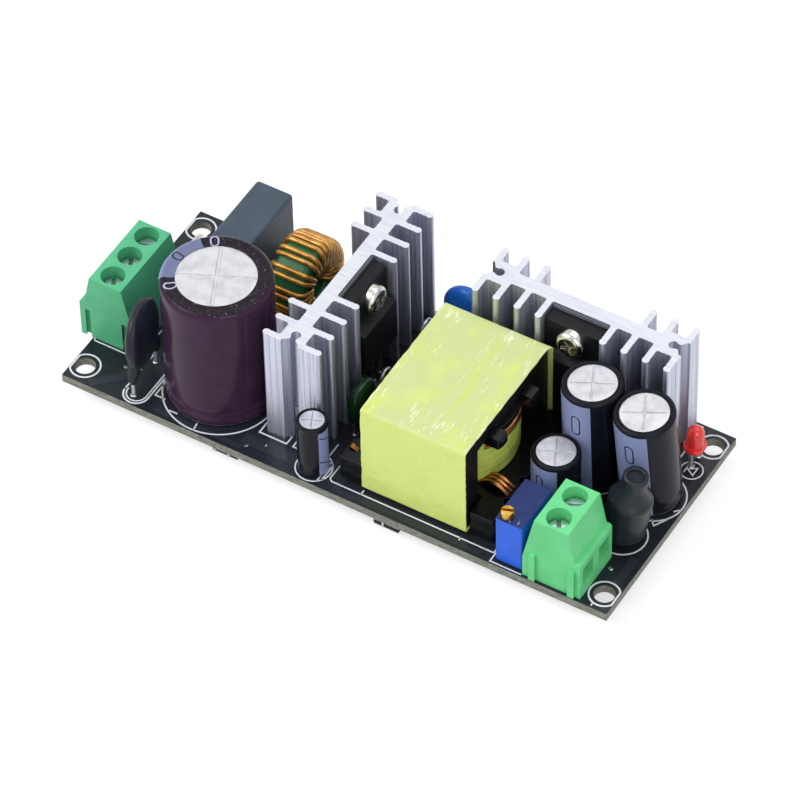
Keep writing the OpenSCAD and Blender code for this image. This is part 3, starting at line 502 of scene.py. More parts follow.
AC_GREEN = moulded("green_nylon", (90, 186, 138), (80, 174, 126), rough=0.44)
DC_GREEN = moulded("light_green_nylon", (108, 214, 142), (98, 202, 130))
DIP_DARK = moulded("dark_dip", (30, 33, 42), (24, 27, 36), rough=0.36, sheen=0.25)
CERAMIC = moulded("ceramic", (158, 154, 150), (124, 121, 120), rough=0.34)
GREY_CASE = moulded("grey_case", (68, 82, 95), (60, 73, 85), rough=0.44, grain=0.014, sheen=0.25)
CORE_GREEN = moulded("green_coat", (34, 100, 58), (24, 80, 44), rough=0.34)
EPOXY = moulded("black_epoxy", (17, 18, 22), (12, 13, 16), rough=0.46, grain=0.018, sheen=0.2)
PAD = moulded("grey_pad", (104, 106, 110), (88, 90, 96), rough=0.7)
FERRITE = moulded("ferrite", (19, 20, 22), (13, 14, 16), grain=0.03, sheen=0.22)
BOBBIN = moulded("black_bobbin", (14, 15, 18), (9, 10, 13), rough=0.22, sheen=0.22)
FILM_GREEN = moulded("green_film", (22, 60, 34), (14, 44, 22), rough=0.16)
BLUE_DIP = moulded("blue_dip", (30, 98, 192), (22, 80, 166), rough=0.26)
AXIAL = moulded("dark_axial", (34, 34, 38), (24, 24, 28), rough=0.4)
BEAD = moulded("grey_axial", (92, 94, 98), (70, 72, 78), rough=0.45)
BAND = moulded("silver_band", (176, 178, 182), (150, 152, 158), rough=0.3)
BAND_GREY = moulded("grey_band", (104, 106, 112), (88, 90, 96), rough=0.34)
RUBBER = moulded("shrink_sleeve", (32, 37, 45), (25, 29, 37), rough=0.34, grain=0.02, sheen=0.28)
BLUE_CASE = moulded("blue_case", (46, 102, 230), (40, 92, 214), rough=0.36, sheen=0.25)
CHIP = moulded("chip_ceramic", (78, 66, 54), (58, 50, 42), rough=0.5)

ZINC = worn_metal("zinc_plate", (206, 220, 226), (158, 170, 178), rough=0.3)
BRASS = worn_metal("brass", (206, 168, 84), (156, 116, 52), rough=0.32)
TIN = worn_metal("tin", (188, 190, 193), (132, 134, 138), rough=0.3)
NICKEL = worn_metal("nickel", (216, 214, 208), (160, 157, 150), rough=0.17)
COPPER = worn_metal("enamelled_copper", (190, 132, 78), (124, 78, 42), rough=0.26)
CAN = worn_metal("can_aluminium", (204, 204, 208), (176, 178, 184), rough=0.5, streak=500, grain=0.012)
SOLDER = worn_metal("solder", (196, 198, 201), (150, 152, 157), rough=0.2)

MASK = lacquer("solder_mask", (35, 39, 47), (29, 33, 39), rough=0.3)
TRACK = lacquer("masked_copper", (45, 51, 59), (39, 44, 51), rough=0.28)

AMBER = layered("amber_enamel", (196, 146, 62), 0.3, ((700, 2), 0.35, 0.7, (150, 102, 36)),
                ((3000, 2), 0.006), ((1500, 2), 0.2, 0.4), 0.6, Coat_Weight=0.3, Coat_Roughness=0.2)
RED = layered("red_lens", (255, 62, 52), 0.16, ((500, 2), 0.4, 0.7, (240, 40, 36)), ((1500, 2), 0.004),
              Transmission_Weight=0.12, Coat_Weight=0.2, Coat_Roughness=0.1)
COIL = layered("coil_tape", (204, 218, 100), 0.34, (((500, 500, 240), 4, 0.6), 0.5, 0.8, (172, 184, 70)),
               (((380, 380, 260), 4, 0.6), 0.24), ((800, 4), 0.24, 0.46),
               Coat_Weight=0.2, Coat_Roughness=0.2)
FR4 = layered("fr4_edge", (140, 142, 130), 0.6, (((1200, 1200, 5200),), 0.4, 0.65, (92, 96, 88)),
              (((2600, 2600, 9000),), 0.04), ((1800,), 0.5, 0.75))
INK = layered("white_ink", (222, 226, 232), 0.5, ((900,), 0.55, 0.8, (186, 192, 202)),
              ((3000, 2), 0.005), ((900,), 0.42, 0.6))

# Aluminium with fine lines along the extrusion, and with marks across where it was sawn
ALU = layered("extruded_aluminium", (206, 209, 222), 0.46,
              (((2400, 2400, 26), 4, 0.6), 0.46, 0.62, (172, 175, 193)),
              (((3200, 3200, 30),), 0.03), (((1800, 1800, 50),), 0.4, 0.6), 1.0)
SAWN = layered("sawn_aluminium", (210, 212, 220), 0.55,
               (((300, 4200, 300), 4, 0.6), 0.45, 0.7, (192, 195, 205)),
               (((1400, 5200, 1400),), 0.006), (((400, 4200, 400),), 0.45, 0.65), 0.7)

# The top of the trimmer's case, with pale scuffs
BLUE_TOP = moulded("blue_case_top", (34, 52, 112), (28, 44, 98), rough=0.34, sheen=0.2)
BLUE_TOP.mix(BLUE_TOP.noise((900, 300, 900), 4, 0.7).span(0.63, 0.7), (150, 166, 206))


def band_tape():
    """Glossy creased film, with painted light on top: the top is paler and carries painted glints."""
    finish = Finish("yellow_tape", (217, 231, 128), 0.34)
    finish.set(Coat_Weight=0.25, Coat_Roughness=0.14, Specular_IOR_Level=0.3)
    height = finish.xyz("Object")[2]
    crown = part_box("transformer_tape")[1].z
    top = height.span(crown - 0.4 / MM, crown - 0.2 / MM)
    glint_patches = finish.noise((150, 90, 150)).span(0.47, 0.58)
    # Painted highlight: the top face is paler, as if it reflected the light above it.
    finish.mix(top, (196, 208, 142))
    finish.mix(top * finish.noise((340, 80, 300), 4, 0.65).span(0.5, 0.66), (198, 213, 108))
    finish.mix(finish.noise((160, 160, 90)).span(0.5, 0.8), (208, 223, 118))
    # Painted highlights: thin pale glints on the top face, clustered in patches.
    finish.mix(top * glint_patches * finish.noise((1100, 240, 1100), 6, 0.85).span(0.55, 0.62), (238, 243, 216))
    finish.roughness(finish.noise((600, 200, 600), 4), 0.22, 0.46)
    finish.bump(finish.noise((420, 110, 240), 4, 0.6), 0.26)
    finish.bump(finish.noise((1300, 420, 700), 4, 0.7), 0.04)
    return finish


TAPE = band_tape()


def printed(name, colour, dark, diameter, stripe, rim, ovals=(), strokes=(), shade=None):
    """A shrunk sleeve with a pale stripe between two angles in degrees, and plain marks on it.
    An oval is (angle, height, spacing, half width, half height, line), and a stroke is
    (angle, height, slope, half length, line)."""
    start, end = stripe
    seam = 0.2
    finish = Finish(name, colour, 0.24)
    finish.set(Specular_IOR_Level=0.11)
    finish.mix(finish.noise(220).span(0.4, 0.8), dark)
    turn, along, _ = finish.xyz("UV")
    turn = (turn - (start / 360 - seam)).fraction()
    height = along * 100
    band = turn.above(seam) * turn.below(seam + (end - start) / 360)
    if not shade:
        band = band * height.below(rim - 0.55)

    def around(angle):
        """Millimetres round the sleeve from an angle."""
        return (turn - (seam + (angle - start) / 360)) * (pi * diameter)

    marks = []
    for angle, middle_z, spacing, half_w, half_h, line in ovals:
        x = around(angle)
        y = ((height - (middle_z - spacing / 2)) / spacing).fraction() * spacing - spacing / 2
        past = (y.abs() - (half_h - half_w)).most(0.0)
        edge = (x * x + past.power(2.0)).power(0.5) - half_w
        marks.append(edge.abs().below(line))
    for angle, middle_z, slope, half_l, line in strokes:
        x = around(angle)
        y = height - middle_z - x * slope
        marks.append(y.abs().below(line) * x.abs().below(half_l))
    lines = marks[0]
    for mark in marks[1:]:
        lines = lines.most(mark)
    finish.mix(band, (138, 148, 190))
    finish.mix(lines * band, (40, 38, 58))
    finish.mix(lines * band.reverse(), (176, 178, 214))
    if shade:
        edge = height.span(rim - 0.9, rim + 0.1)
        finish.mix(edge * (band * -0.6 + 1) * lines.reverse(), shade)
        # Painted highlights: pale glints in the creases of the sleeve's rim.
        finish.mix(edge * finish.noise(2200, 5, 0.75).span(0.6, 0.68), (132, 128, 142))
    finish.bump(finish.noise(2600, 4, 0.7) * height.span(rim - 0.5, rim + 0.6), 0.12)
    finish.roughness(finish.noise(400), 0.12, 0.24)
    finish.bump(finish.noise(1500, 2), 0.008)
    return finish


# Circuit board: mask on its faces, bare laminate on its edges
SINK = 0.004  # how far ink and copper reach into the board
second_finish(soften("circuit_board", [MASK, FR4], width=0.08), lambda c, n: abs(n.z) < 0.6)

# The legend's plain lines, open ones and closed ones, by their width
INK_H = 0.044
INK_SPREAD = 1.2  # printed width over drawn width
HAIR, FINE, LINE, BOLD, HEAVY = 0.18, 0.2, 0.22, 0.24, 0.3
HOLES = [(x, y) for y in (3.5, 39.0) for x in (2.3, 99.3)]
HOLE_RING, HOLE_LINE, EDGE_GAP = 2.52, 0.25, 0.25
LINES = {
    FINE: [
        arc(12.8, 2.7, 1.75, 175, 360, 20) + [(14.55, 12.2)],
        [(10.15, 8.9), (10.15, 12.9)], [(9.2, 11.7), (10.15, 11.7)], [(9.2, 9.2), (10.15, 9.2)],
        [(19.4, 2.1), (20.8, 2.1)], [(25, 0.5), (24.8, 1.8)], [(47.9, 1.1), (47.9, 5.7)],
        [(49.5, 5.6), (49.5, 2.6), (50, 2.15), (80, 2.15), (80, 30.9), (49.5, 30.9), (49.5, 27.4)],
        [(55.5, 2.2), (55.5, 3)], [(73.9, 2.2), (73.9, 1.8)], [(80.3, 11.2), (80.3, 0.4), (85.9, 0.4)],
        [(98.6, 0.5), (98.6, 0.7)], [(100.5, 23.9), (101, 24.5)],
        [(58.6, 30), (58.6, 41.9), (95.8, 41.9), (95.8, 30)],
        [(11.4, 42.2), (11.4, 23.6), (19.6, 23.6), (19.6, 42.2), (11.4, 42.2)],
        [(0.4, 9), (0.4, 25.2), (8.9, 25.2), (8.9, 9), (0.4, 9)],
    ],
    LINE: [
        [(15.6, 6.6), (15.6, 3.8), (17.4, 3.8)], [(34.5, 9.4), (34.5, 5.4), (39.6, 5.4), (39.6, 7.4)],
        [(40.8, 7.4), (40.8, 5.4), (46.9, 5.4), (46.9, 9.4)],
        [(34.5, 38.6), (34.5, 42.2), (46.9, 42.2), (46.9, 38.6)],
        [(100.3, 21.8), (99.1, 19.7), (98.3, 20.6)],
    ],
    BOLD: [arc(12.8, 2.6, 2.2, 180, 360, 20) + [(15, 12.4)], [(10.6, 11.8), (10.6, 2.6)]],
    HEAVY: [[(48.5, 1.7), (48.5, 5.1)]],
    HAIR: [[(97.75, 33.7), (97.75, 32.1)]],
}
FRAMES = {
    FINE: [
        [(3.4, 25.9), (7.5, 25.9), (7.5, 36), (3.4, 36)],
        [(49.4, 36.4), (59, 36.4), (59, 40.3), (49.4, 40.3)],
        circle(46, 3.4, 3.05), circle(98.7, 32.9, 1.85, 40), circle(26.8, 32.4, 8.1, 80),
    ],
    LINE: [
        circle(24.4, 10, 9.6, 96), circle(96, 25.2, 5.35, 80), circle(85.2, 25.3, 5.3, 80),
        circle(83.3, 16.2, 4.4, 64), circle(95.8, 15.5, 4.05, 64),
    ],
    HAIR: [[(99.35, 33.75), (98, 32.85), (99.35, 32.05)]],
}


def print_legend():
    rings = [circle(x, y, HOLE_RING) for x, y in HOLES]
    cut_off = [[(min(max(x, EDGE_GAP), BOARD_L - EDGE_GAP), y) for x, y in ring] for ring in rings]
    bm = bmesh.new()
    for shapes, closed in ((LINES, False), (FRAMES, True), ({HOLE_LINE: cut_off}, True)):
        for width, outlines in shapes.items():
            for outline in outlines:
                strip(bm, outline, width * INK_SPREAD, -SINK, INK_H, closed)
    add("board_ink", bm, [INK], slot="board", smooth=None)


print_legend()

# Copper under the mask, as (points, width)
TOP_TRACKS = [
    ([(8.8, 7.6), (8.8, 4.6), (5.4, 1.2)], 1.6), ([(17.3, 1.2), (33.2, 1.2)], 0.9),
    ([(33.9, 3.2), (42.4, 3.2)], 2.2), ([(51.4, 3.9), (51.4, 1.1), (77.6, 1.1)], 1.1),
    ([(87, 13.2), (91.4, 13.2), (91.4, 20.6)], 2.6), ([(99.9, 7), (99.9, 11.6)], 1.5),
    ([(100.3, 28.8), (100.3, 35.2)], 1), ([(34.2, 12), (34.2, 30)], 1.2),
    ([(49, 5), (49, 9.6), (51.6, 11.4)], 1),
    ([(89.6, 31.4), (94.6, 31.4), (96.2, 33), (96.2, 36.5)], 1.2),
]
UNDER_TRACKS = [
    ([(5.45, 12.04), (5.45, 6), (12.5, 2.2)], 2.2), ([(11.75, 10.2), (18, 10.2), (22.4, 13)], 2.4),
    ([(5.45, 22.2), (5.45, 25.7)], 2.2), ([(5.45, 36.1), (10, 40.6), (15.5, 40.6)], 2.4),
    ([(15.5, 40.6), (22, 40.6), (26.8, 36.6)], 2.4), ([(15.5, 25.6), (9, 17.12), (5.45, 17.12)], 2.2),
    ([(26.8, 27.8), (30.4, 24), (30.4, 6.4)], 2.2), ([(24, 7.25), (24, 4.4), (27, 2.8)], 2.6),
    ([(24, 14.75), (33, 18.4), (44.3, 21.7)], 2.6),
    ([(44.35, 26.7), (49, 26.7), (52.75, 26.66)], 2),
    ([(44.35, 24.2), (52.75, 21.58)], 2), ([(44.7, 3.4), (41, 6), (36, 12.6)], 1),
    ([(47.2, 3.4), (50.4, 5.6), (52.75, 6.34)], 1), ([(52.75, 11.42), (48, 12.9)], 0.8),
    ([(76.75, 26.66), (77.2, 29.6), (77.2, 32.3)], 3.4),
    ([(76.75, 21.58), (83, 27.6), (85.2, 27.9)], 3.2),
    ([(74.66, 32.3), (66, 32.3), (62, 36.4)], 2.4), ([(79.74, 32.3), (90, 32.3), (95.6, 27.9)], 3),
    ([(85.2, 22.9), (83.3, 18), (83.3, 14.4)], 3.2), ([(95.6, 22.9), (95.8, 17.1)], 3.2),
    ([(95.8, 13.9), (93.6, 10.2), (93.6, 8.2)], 3),
    ([(83.3, 8.4), (86.6, 12), (91, 12), (93.6, 3.1)], 1),
    ([(58.3, 38.3), (54, 34.6), (49.35, 34.5)], 1),
    ([(64.75, 28.8), (70.6, 31), (74, 34.8), (96, 36.4)], 0.7),
    ([(33.25, 19.6), (33.25, 22.4)], 0.6), ([(35.6, 18.6), (41, 18.6), (44.35, 21.6)], 0.6),
    ([(62, 24.4), (60, 21.4)], 0.6), ([(60.75, 5.4), (60.75, 8.4), (54.4, 11.4)], 1.4),
    ([(30.3, 6), (30.3, 9)], 1.8),
]
TOP_H, UNDER_H = 0.028, 0.03
TOP_STEP, UNDER_STEP = 0.001, 0.0012


def lay_tracks():
    """Each track stands a little higher than the last, so that no two share a face."""
    bm = bmesh.new()
    for i, (points, width) in enumerate(TOP_TRACKS):
        strip(bm, points, width, -SINK, TOP_H + TOP_STEP * i)
    for i, (points, width) in enumerate(UNDER_TRACKS):
        strip(bm, points, width, UNDER - UNDER_H - UNDER_STEP * i, UNDER + SINK)
    add("board_tracks", bm, [TRACK], slot="board", smooth=None)


lay_tracks()

# Where leads come out under the board
SHORTEST_LEAD = 0.6
JOINED_LEGS = ("standing_diode", "standing_resistor")
SMALL_PADS = [(34.0, 1.9), (51.6, 4.5), (36.8, 3.4), (89.0, 12.6),
              (97.6, 8.6), (8.2, 6.6), (56.8, 33.4), (90.6, 37.9)]


def mean(points):
    return [sum(p[i] for p in points) / len(points) for i in (0, 1)]


def tip_of(part):
    """The lowest height of a solid, and its points there."""
    low = min(p.z for p in part)
    return low, [p for p in part if p.z < low + 0.05]


def lead_ends(node):
    ends = []
    for part in islands(node):
        low, tips = tip_of(part)
        if low > UNDER - SHORTEST_LEAD:
            continue
        legs = [tips]
        if node in JOINED_LEGS:
            y = mean(tips)[1]
            legs = [[p for p in tips if p.y < y], [p for p in tips if p.y >= y]]
        ends += [mean(leg) for leg in legs]
    return ends


def plate_pads():
    """A plated ring round each lead under the board, and the small pads with solder on top."""
    bm = bmesh.new()
    for node in ("component_leads", "transformer_pins", "heatsink_pins", "ac_terminal_pins",
                 "dc_terminal_pins", "fuse_caps", *JOINED_LEGS):
        inner, outer = (1.2, 1.75) if node == "heatsink_pins" else (0.6, 1.25)
        low = UNDER - UNDER_H
        pad = [(inner, low), (outer, low), (outer, UNDER), (inner, UNDER)]
        for end in lead_ends(node):
            lathe(bm, pad, seg=28, at=end, closed=True, uvs=False)
    dot = [(0, 0.06), (0.22, 0.05), (0.42, 0), (0.42, -0.02), (0, -0.02)]
    for at in SMALL_PADS:
        lathe(bm, dot, seg=18, at=at, uvs=False)
    add("board_pads", bm, [SOLDER], slot="tinned")


FILLET = [(0.42, -0.65), (0.52, -0.38), (0.72, -0.18), (1.02, -0.05), (1.1, 0), (0.4, 0.01)]


def solder_leads():
    """Each lead is a wire with a hollow fillet of solder under the board, and on top where it shows."""
    bm = bmesh.new()
    for part in islands("component_leads"):
        low, tips = tip_of(part)
        top = max(p.z for p in part)
        end = [(0, low), (0.26, low + 0.02), (0.4, low + 0.14)]
        fillet = [(r, UNDER + z) for r, z in FILLET]
        collar = [(0.4, -0.02), (0.62, 0), (0.5, 0.09), (0.4, 0.26)] if top > 0.35 else []
        profile = end + fillet + collar + [(0.4, top), (0, top)]
        lathe(bm, profile, seg=20, at=mean(tips), uvs=False)
    add("lead_wires", bm, [TIN], node="component_leads", slot="tinned")


plate_pads()
solder_leads()


# Terminal blocks and their hardware. The angles are each screw slot's turn, in degrees.
SLOT_TURNS = {"ac": (-120, -92, 12), "dc": (-120, 17)}


def terminal_screw(node, angle):
    lo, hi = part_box(node)
    axis = Matrix.Translation((lo + hi) / 2)
    mesh = cad_mesh(node)
    mesh.transform(axis @ Matrix.Rotation(radians(angle), 4, "Z") @ axis.inverted())
    soften(node, [ZINC], width=0.1, slot="screw_steel", mesh=mesh)


soften("ac_terminal_housing", [AC_GREEN], width=0.16, slot="green_housing")
soften("dc_terminal_housing", [DC_GREEN], width=0.16, slot="light_green_housing")
soften("ac_terminal_pins", [TIN], width=0.08, slot="tinned")
soften("dc_terminal_pins", [TIN], width=0.08, slot="tinned")
for side, turns in SLOT_TURNS.items():
    for pole, angle in enumerate(turns, start=1):
        terminal_screw(f"{side}_terminal_screw_{pole}", angle)
        soften(f"{side}_wire_clamp_{pole}", [BRASS], width=0.12, slot="brass")


def thermistor():
    """A dipped disc whose coating runs down onto its wires."""
    bm = bmesh.new()
    dipped_disc(bm, diameter=12.0, thick=3.4, steps=24, seg=64, edge=0.9)
    for v in bm.verts:
        x, y, z = v.co.z, v.co.y, v.co.x
        swell = 1 + 0.03 * noise.noise(Vector((x, y, z)) * 0.35)
        v.co = x * swell, y, z * (1.0 if z > 0 else 1.03)
    place(bm, (12.15, 6.2, 10.7), lean=(0, -4, 13))
    for x, y, side in ((12.55, 2.2, 1), (11.75, 10.2, -1)):
        bends = [(0.35, 0.75, 7.9), (0.25, 0.4, 6.2), (0.05, 0.1, 4.6), (0, 0, 3.4), (0, 0, 2.7)]
        path = smooth_path([(x + dx * side, y + dy * side, z) for dx, dy, z in bends], 6)
        last = len(path) - 1
        swells = [sin(pi * (0.2 + 0.8 * i / last)) for i in range(last + 1)]
        tube(bm, path, [0.48 + 0.62 * max(0.0, swell) ** 1.3 for swell in swells], seg=16)
    add("thermistor_coat", bm, [DIP_DARK], node="thermistor", slot="dark_dip", smooth=60)


thermistor()

# Mains fuse and the suppression capacitor
soften("fuse_tube", [CERAMIC], width=0.2, slot="fuse_ceramic")
soften("fuse_caps", [NICKEL], width=0.2, slot="tinned")
soften("suppression_capacitor", [GREY_CASE], width=0.55, segments=4, angle=40, slot="grey_case")

# Choke: one wire wound round a coated ring, close in its front half and wide behind
soften("choke_core", [CORE_GREEN], width=0.4, slot="green_core")
RING_IN, RING_OUT, RING_HALF = 3.0, 6.7, 3.2
WIRE_R = 0.4
CLOSE_TURNS = [-30 + 9.6 * i for i in range(13)]
WIDE_TURNS = [101 + 28 * i + k for i in range(5) for k in (0, 10)]


def around_section(share, lift, corner=1.55):
    """A place on the wire's rounded path round the ring's section, as (radius, along the axis)."""
    inner = RING_IN - WIRE_R - lift
    side = RING_OUT + WIRE_R - inner - 2 * corner
    face = 2 * (RING_HALF + WIRE_R) - 2 * corner
    quarter = pi * corner / 2
    left = (share % 1.0) * (2 * side + 2 * face + 4 * quarter)
    x, y, heading = inner + corner, -RING_HALF - WIRE_R, 0.0
    for run in (side, face, side, face):
        dx, dy = cos(heading), sin(heading)
        if left <= run:
            return x + dx * left, y + dy * left
        x, y, left = x + dx * run, y + dy * run, left - run
        cx, cy = x - dy * corner, y + dx * corner
        if left <= quarter:
            turn = heading - pi / 2 + left / corner
            return cx + cos(turn) * corner, cy + sin(turn) * corner
        left -= quarter
        heading += pi / 2
        x, y = cx + sin(heading) * corner, cy - cos(heading) * corner
    return x, y


def choke(steps=40):
    """Each turn goes round the section, and steps on to the next in its last part."""
    cx, cy, cz = middle("choke_core")
    turns = CLOSE_TURNS + WIDE_TURNS
    path = []
    for i, (angle, after) in enumerate(zip(turns, turns[1:] + [turns[-1] + 9])):
        for k in range(steps):
            step_on = max(0.0, (k / steps - 0.62) / 0.38)
            a = radians(angle + (after - angle) * step_on + 1.2 * wobble(i * 1.7, k * 0.05, 3.1))
            lift = 0.75 * (i % 2) if i < len(CLOSE_TURNS) else 0.0
            r, along = around_section(k / steps + 0.12, lift)
            path.append((cx + along, cy + r * cos(a), cz + r * sin(a)))
    bm = bmesh.new()
    tube(bm, path, WIRE_R + 0.04)
    add("choke_turns", bm, [AMBER], node="choke_winding", slot="enamel_wire", smooth=60)
    bm = bmesh.new()
    for end, side in ((path[0], 1), (path[-1], -1)):
        bends = [(cx - 0.5, 4.4, 0.3), (cx - 1.6, 4.6, 1.0), (cx - 2.9, 5.0, 2.1)]
        route = [(x, cy + dy * side, z) for x, dy, z in bends] + [end]
        tube(bm, smooth_path(route, 6), WIRE_R + 0.02)
    add("choke_ends", bm, [AMBER], slot="enamel_wire", smooth=60)


choke()


# Electrolytic capacitors: a can in a shrunk sleeve with a printed stripe
SLEEVE_T = 0.19


def sleeve_profile(diameter, height, lip, shoulder, dent, waist):
    """Its outside from the foot up, pressed in at the waist and drawn over the top, then its inside."""
    r, top = diameter / 2, height + 0.2
    flat = r - shoulder
    points = [(r - 0.55, 0.02), (r - 0.2, 0.12), (r - 0.03, 0.42)]
    for i in range(12):
        pressed = dent * (0.5 - 0.5 * cos(pi * (i + 1) / 6))
        points.append((r - pressed, waist - 1.3 + 0.22 * i))
    points += [(r, top - shoulder - 2.2), (r, top - shoulder - 0.4)]
    points += arc(flat, top - shoulder, shoulder, 0, 90, 8)
    for share in (0.2, 0.4, 0.6, 0.8, 1.0):
        sag = 0.16 * sin(pi * share) + 0.05 * share
        points.append((flat + (lip - flat) * share, top - sag))
    points += [(lip - 0.05, top - 0.12), (lip, top - SLEEVE_T)]
    inner = r - SLEEVE_T
    return points + [(flat, top - SLEEVE_T), (inner, top - shoulder), (inner, 0.3), (r - 0.55, 0.12)]


def capacitor(can, at, diameter, height, finish, lean=(0, 0, 0), seg=96, lip=0.4,
              shoulder=0.6, dent=0.1, waist=2.0, slot="black_sleeve"):
    """lip is the radius of the sleeve's opening over the diameter."""
    sleeve = can.replace("can", "sleeve")
    bm = bmesh.new()
    lathe(bm, sleeve_profile(diameter, height, lip * diameter, shoulder, dent, waist), seg, closed=True)
    place(bm, at, lean)
    add(sleeve + "_film", bm, [finish], node=sleeve, slot=slot)
    soften(can, [CAN], width=0.1, slot="can_metal")


BULK_D, TALL_D, SHORT_D, SUPPLY_D = 18.5, 10.1, 8.1, 5.2
BLACK, BLACK_DARK = (24, 25, 34), (17, 18, 26)
SIDE_MARK = (27.4, 60, 0.75, 1.05, 0.16)
TALL_MARK = (15.0, 13.5, 0.72, 2.0, 0.13)
DASH = (-0.55, 1.1, 0.12)
BULK = printed("purple_print", (62, 39, 63), (52, 32, 53), BULK_D, stripe=(139.5, 212), rim=26.4,
               ovals=[(175.5, 27.4, 9.5, 0.75, 1.0, 0.16), (124, *SIDE_MARK), (226, *SIDE_MARK)],
               shade=(34, 24, 36))
TALL_1 = printed("tall_print", BLACK, BLACK_DARK, TALL_D, stripe=(205, 294.6), rim=20.4,
                 ovals=[(265.6, *TALL_MARK)])
TALL_2 = printed("tall_print_b", BLACK, BLACK_DARK, TALL_D, stripe=(209, 301.8), rim=20.4,
                 ovals=[(266, *TALL_MARK)])
SHORT = printed("short_print", BLACK, BLACK_DARK, SHORT_D, stripe=(205, 301.5), rim=12.3,
                ovals=[(258, 8.2, 9, 0.6, 1.5, 0.12)])
SUPPLY = printed("small_print", (26, 27, 36), (19, 20, 28), SUPPLY_D, stripe=(323.4, 377), rim=11.4,
                 strokes=[(345, 9.2, *DASH), (345, 3.6, *DASH)])
capacitor("bulk_can", (24.0, 11.0, 0.3), BULK_D, height=25.6, finish=BULK, seg=144, lip=0.36,
          shoulder=1.0, dent=0.14, waist=2.4, slot="purple_sleeve")
capacitor("tall_can_1", (85.25, 25.35, 0.5), TALL_D, height=20, finish=TALL_1, lean=(0.5, -1.6, 0))
capacitor("tall_can_2", (95.6, 25.35, 0.5), TALL_D, height=20, finish=TALL_2, lean=(4.2, -2.4, 0))
capacitor("short_can", (83.25, 16.2, 0.3), SHORT_D, height=12, finish=SHORT)
capacitor("supply_can", (45.95, 3.4, 0.3), SUPPLY_D, height=11, finish=SUPPLY, seg=72,
          shoulder=0.4, waist=1.5)

# Heatsinks: extruded fins with fine flutes, sawn off at both ends
FLUTE_PITCH, FLUTE_DEPTH = 0.6, 0.075
FLUTED_FROM, PLAIN_END = 1.5, 0.25
SCREW_Z, SCREW_HOLE = 19.75, 1.55


def top_outline(node):
    """The outline of an upright solid's flat top, in millimetres and counterclockwise."""
    bm = welded(node)
    top = max(v.co.z for v in bm.verts) - 1e-5
    caps = [f for f in bm.faces if f.normal.z > 0.99 and f.calc_center_median().z > top]
    rim = [e for f in caps for e in f.edges if sum(g in caps for g in e.link_faces) == 1]
    first, here = rim[0].verts
    loop, used = [first], {rim[0]}
    while here != first:
        loop.append(here)
        edge = next(e for e in here.link_edges if e in rim and e not in used)
        used.add(edge)
        here = edge.other_vert(here)
    points = [on_board(v.co).xy for v in loop]
    bm.free()
    if sum(a.cross(b) for a, b in zip(points, points[1:] + points[:1])) < 0:
        points.reverse()
    return points


def flutes(outline):
    """The outline with fine grooves in its long straight runs."""
    out = []
    for a, b in zip(outline, outline[1:] + outline[:1]):
        run = (b - a).length
        out.append(a)
        if run > FLUTED_FROM:
            along = (b - a) / run
            outward = Vector((along.y, -along.x))
            count = max(1, int((run - 2 * PLAIN_END) / FLUTE_PITCH))
            pitch = (run - 2 * PLAIN_END) / count
            for k in range(count):
                for share, depth in ((0.0, 0.0), (0.3, FLUTE_DEPTH), (0.7, FLUTE_DEPTH)):
                    out.append(a + along * (PLAIN_END + (k + share) * pitch) - outward * depth)
            out.append(a + along * (run - PLAIN_END))
    return out


def heatsink(node, screw_axis):
    lo, hi = box_of(node)
    bm = bmesh.new()
    prism(bm, flutes(top_outline(node)), lo[2], hi[2])
    for v in bm.verts:
        v.co = spot(*v.co)
    cut = bmesh.new()
    lathe(cut, [(0, -12), (SCREW_HOLE, -12), (SCREW_HOLE, 12), (0, 12)], seg=40, uvs=False)
    turn = Matrix.Rotation(radians(90), 4, screw_axis)
    x, y, _ = middle(node)
    for v in cut.verts:
        v.co = spot(*(turn @ v.co + Vector((x, y, SCREW_Z))))
    drill = new_object("drill", as_mesh("drill", cut))
    mesh = modified(as_mesh(node, bm), "BOOLEAN", operation="DIFFERENCE", object=drill, solver="EXACT")
    bpy.data.objects.remove(drill)
    mesh = bevelled(mesh, 0.07, angle=60)
    fins = piece(node + "_fins", mesh, [ALU, SAWN], node=node, slot="heatsink", smooth=None)
    second_finish(fins, lambda c, n: abs(n.z) > 0.7)


heatsink("primary_heatsink", "Y")
heatsink("output_heatsink", "X")
soften("heatsink_pins", [TIN], width=0.1, slot="tinned")

# Transistors, pads and screws
for node in ("switch_transistor", "output_rectifier"):
    soften(node, [EPOXY], width=0.22, segments=3, slot="epoxy_black")
soften("insulating_pads", [PAD], width=0.05, slot="pad_grey")
soften("fixing_screws", [NICKEL], width=0.16, segments=3, slot="screw_steel")


# Transformer
AXIS_X, AXIS_Y, _ = middle("transformer_coil")


def bobbin(lug_face=76.7, lug_foot=10, chamfer=0.55):
    """The CAD solid with the tops of its rail's lugs sloped off."""
    bm = bmesh.new()
    bm.from_mesh(cad_mesh("transformer_bobbin"))
    start = spot(lug_face, 0, lug_foot)
    lugs = [e for e in bm.edges if all(v.co.x > start.x and v.co.z > start.z for v in e.verts)]
    bmesh.ops.bevel(bm, geom=lugs, offset=chamfer / MM, segments=1, profile=0.5, affect="EDGES")
    mesh = as_mesh("transformer_bobbin", bm)
    soften("transformer_bobbin", [BOBBIN], width=0.14, slot="bobbin_black", mesh=mesh)


def between(a, b, steps):
    """The points that cut a straight line into steps, without its ends."""
    return [(a[0] + (b[0] - a[0]) * i / steps, a[1] + (b[1] - a[1]) * i / steps) for i in range(1, steps)]


def round_the_core(corner=0.45, steps=44):
    """The tape's path round the core, as (y, z)."""
    lo, hi = box_of("transformer_tape")
    near, far = (lo[1] + corner, lo[2] + corner), (hi[1] - corner, hi[2] - corner)
    path = []
    for centre, angle in (((far[0], near[1]), -90), (far, 0), ((near[0], far[1]), 90), (near, 180)):
        bend = arc(*centre, corner, angle, angle + 90, 4)
        if path:
            path += between(path[-1], bend[0], steps)
        path += bend
    return path + between(path[-1], path[0], steps)


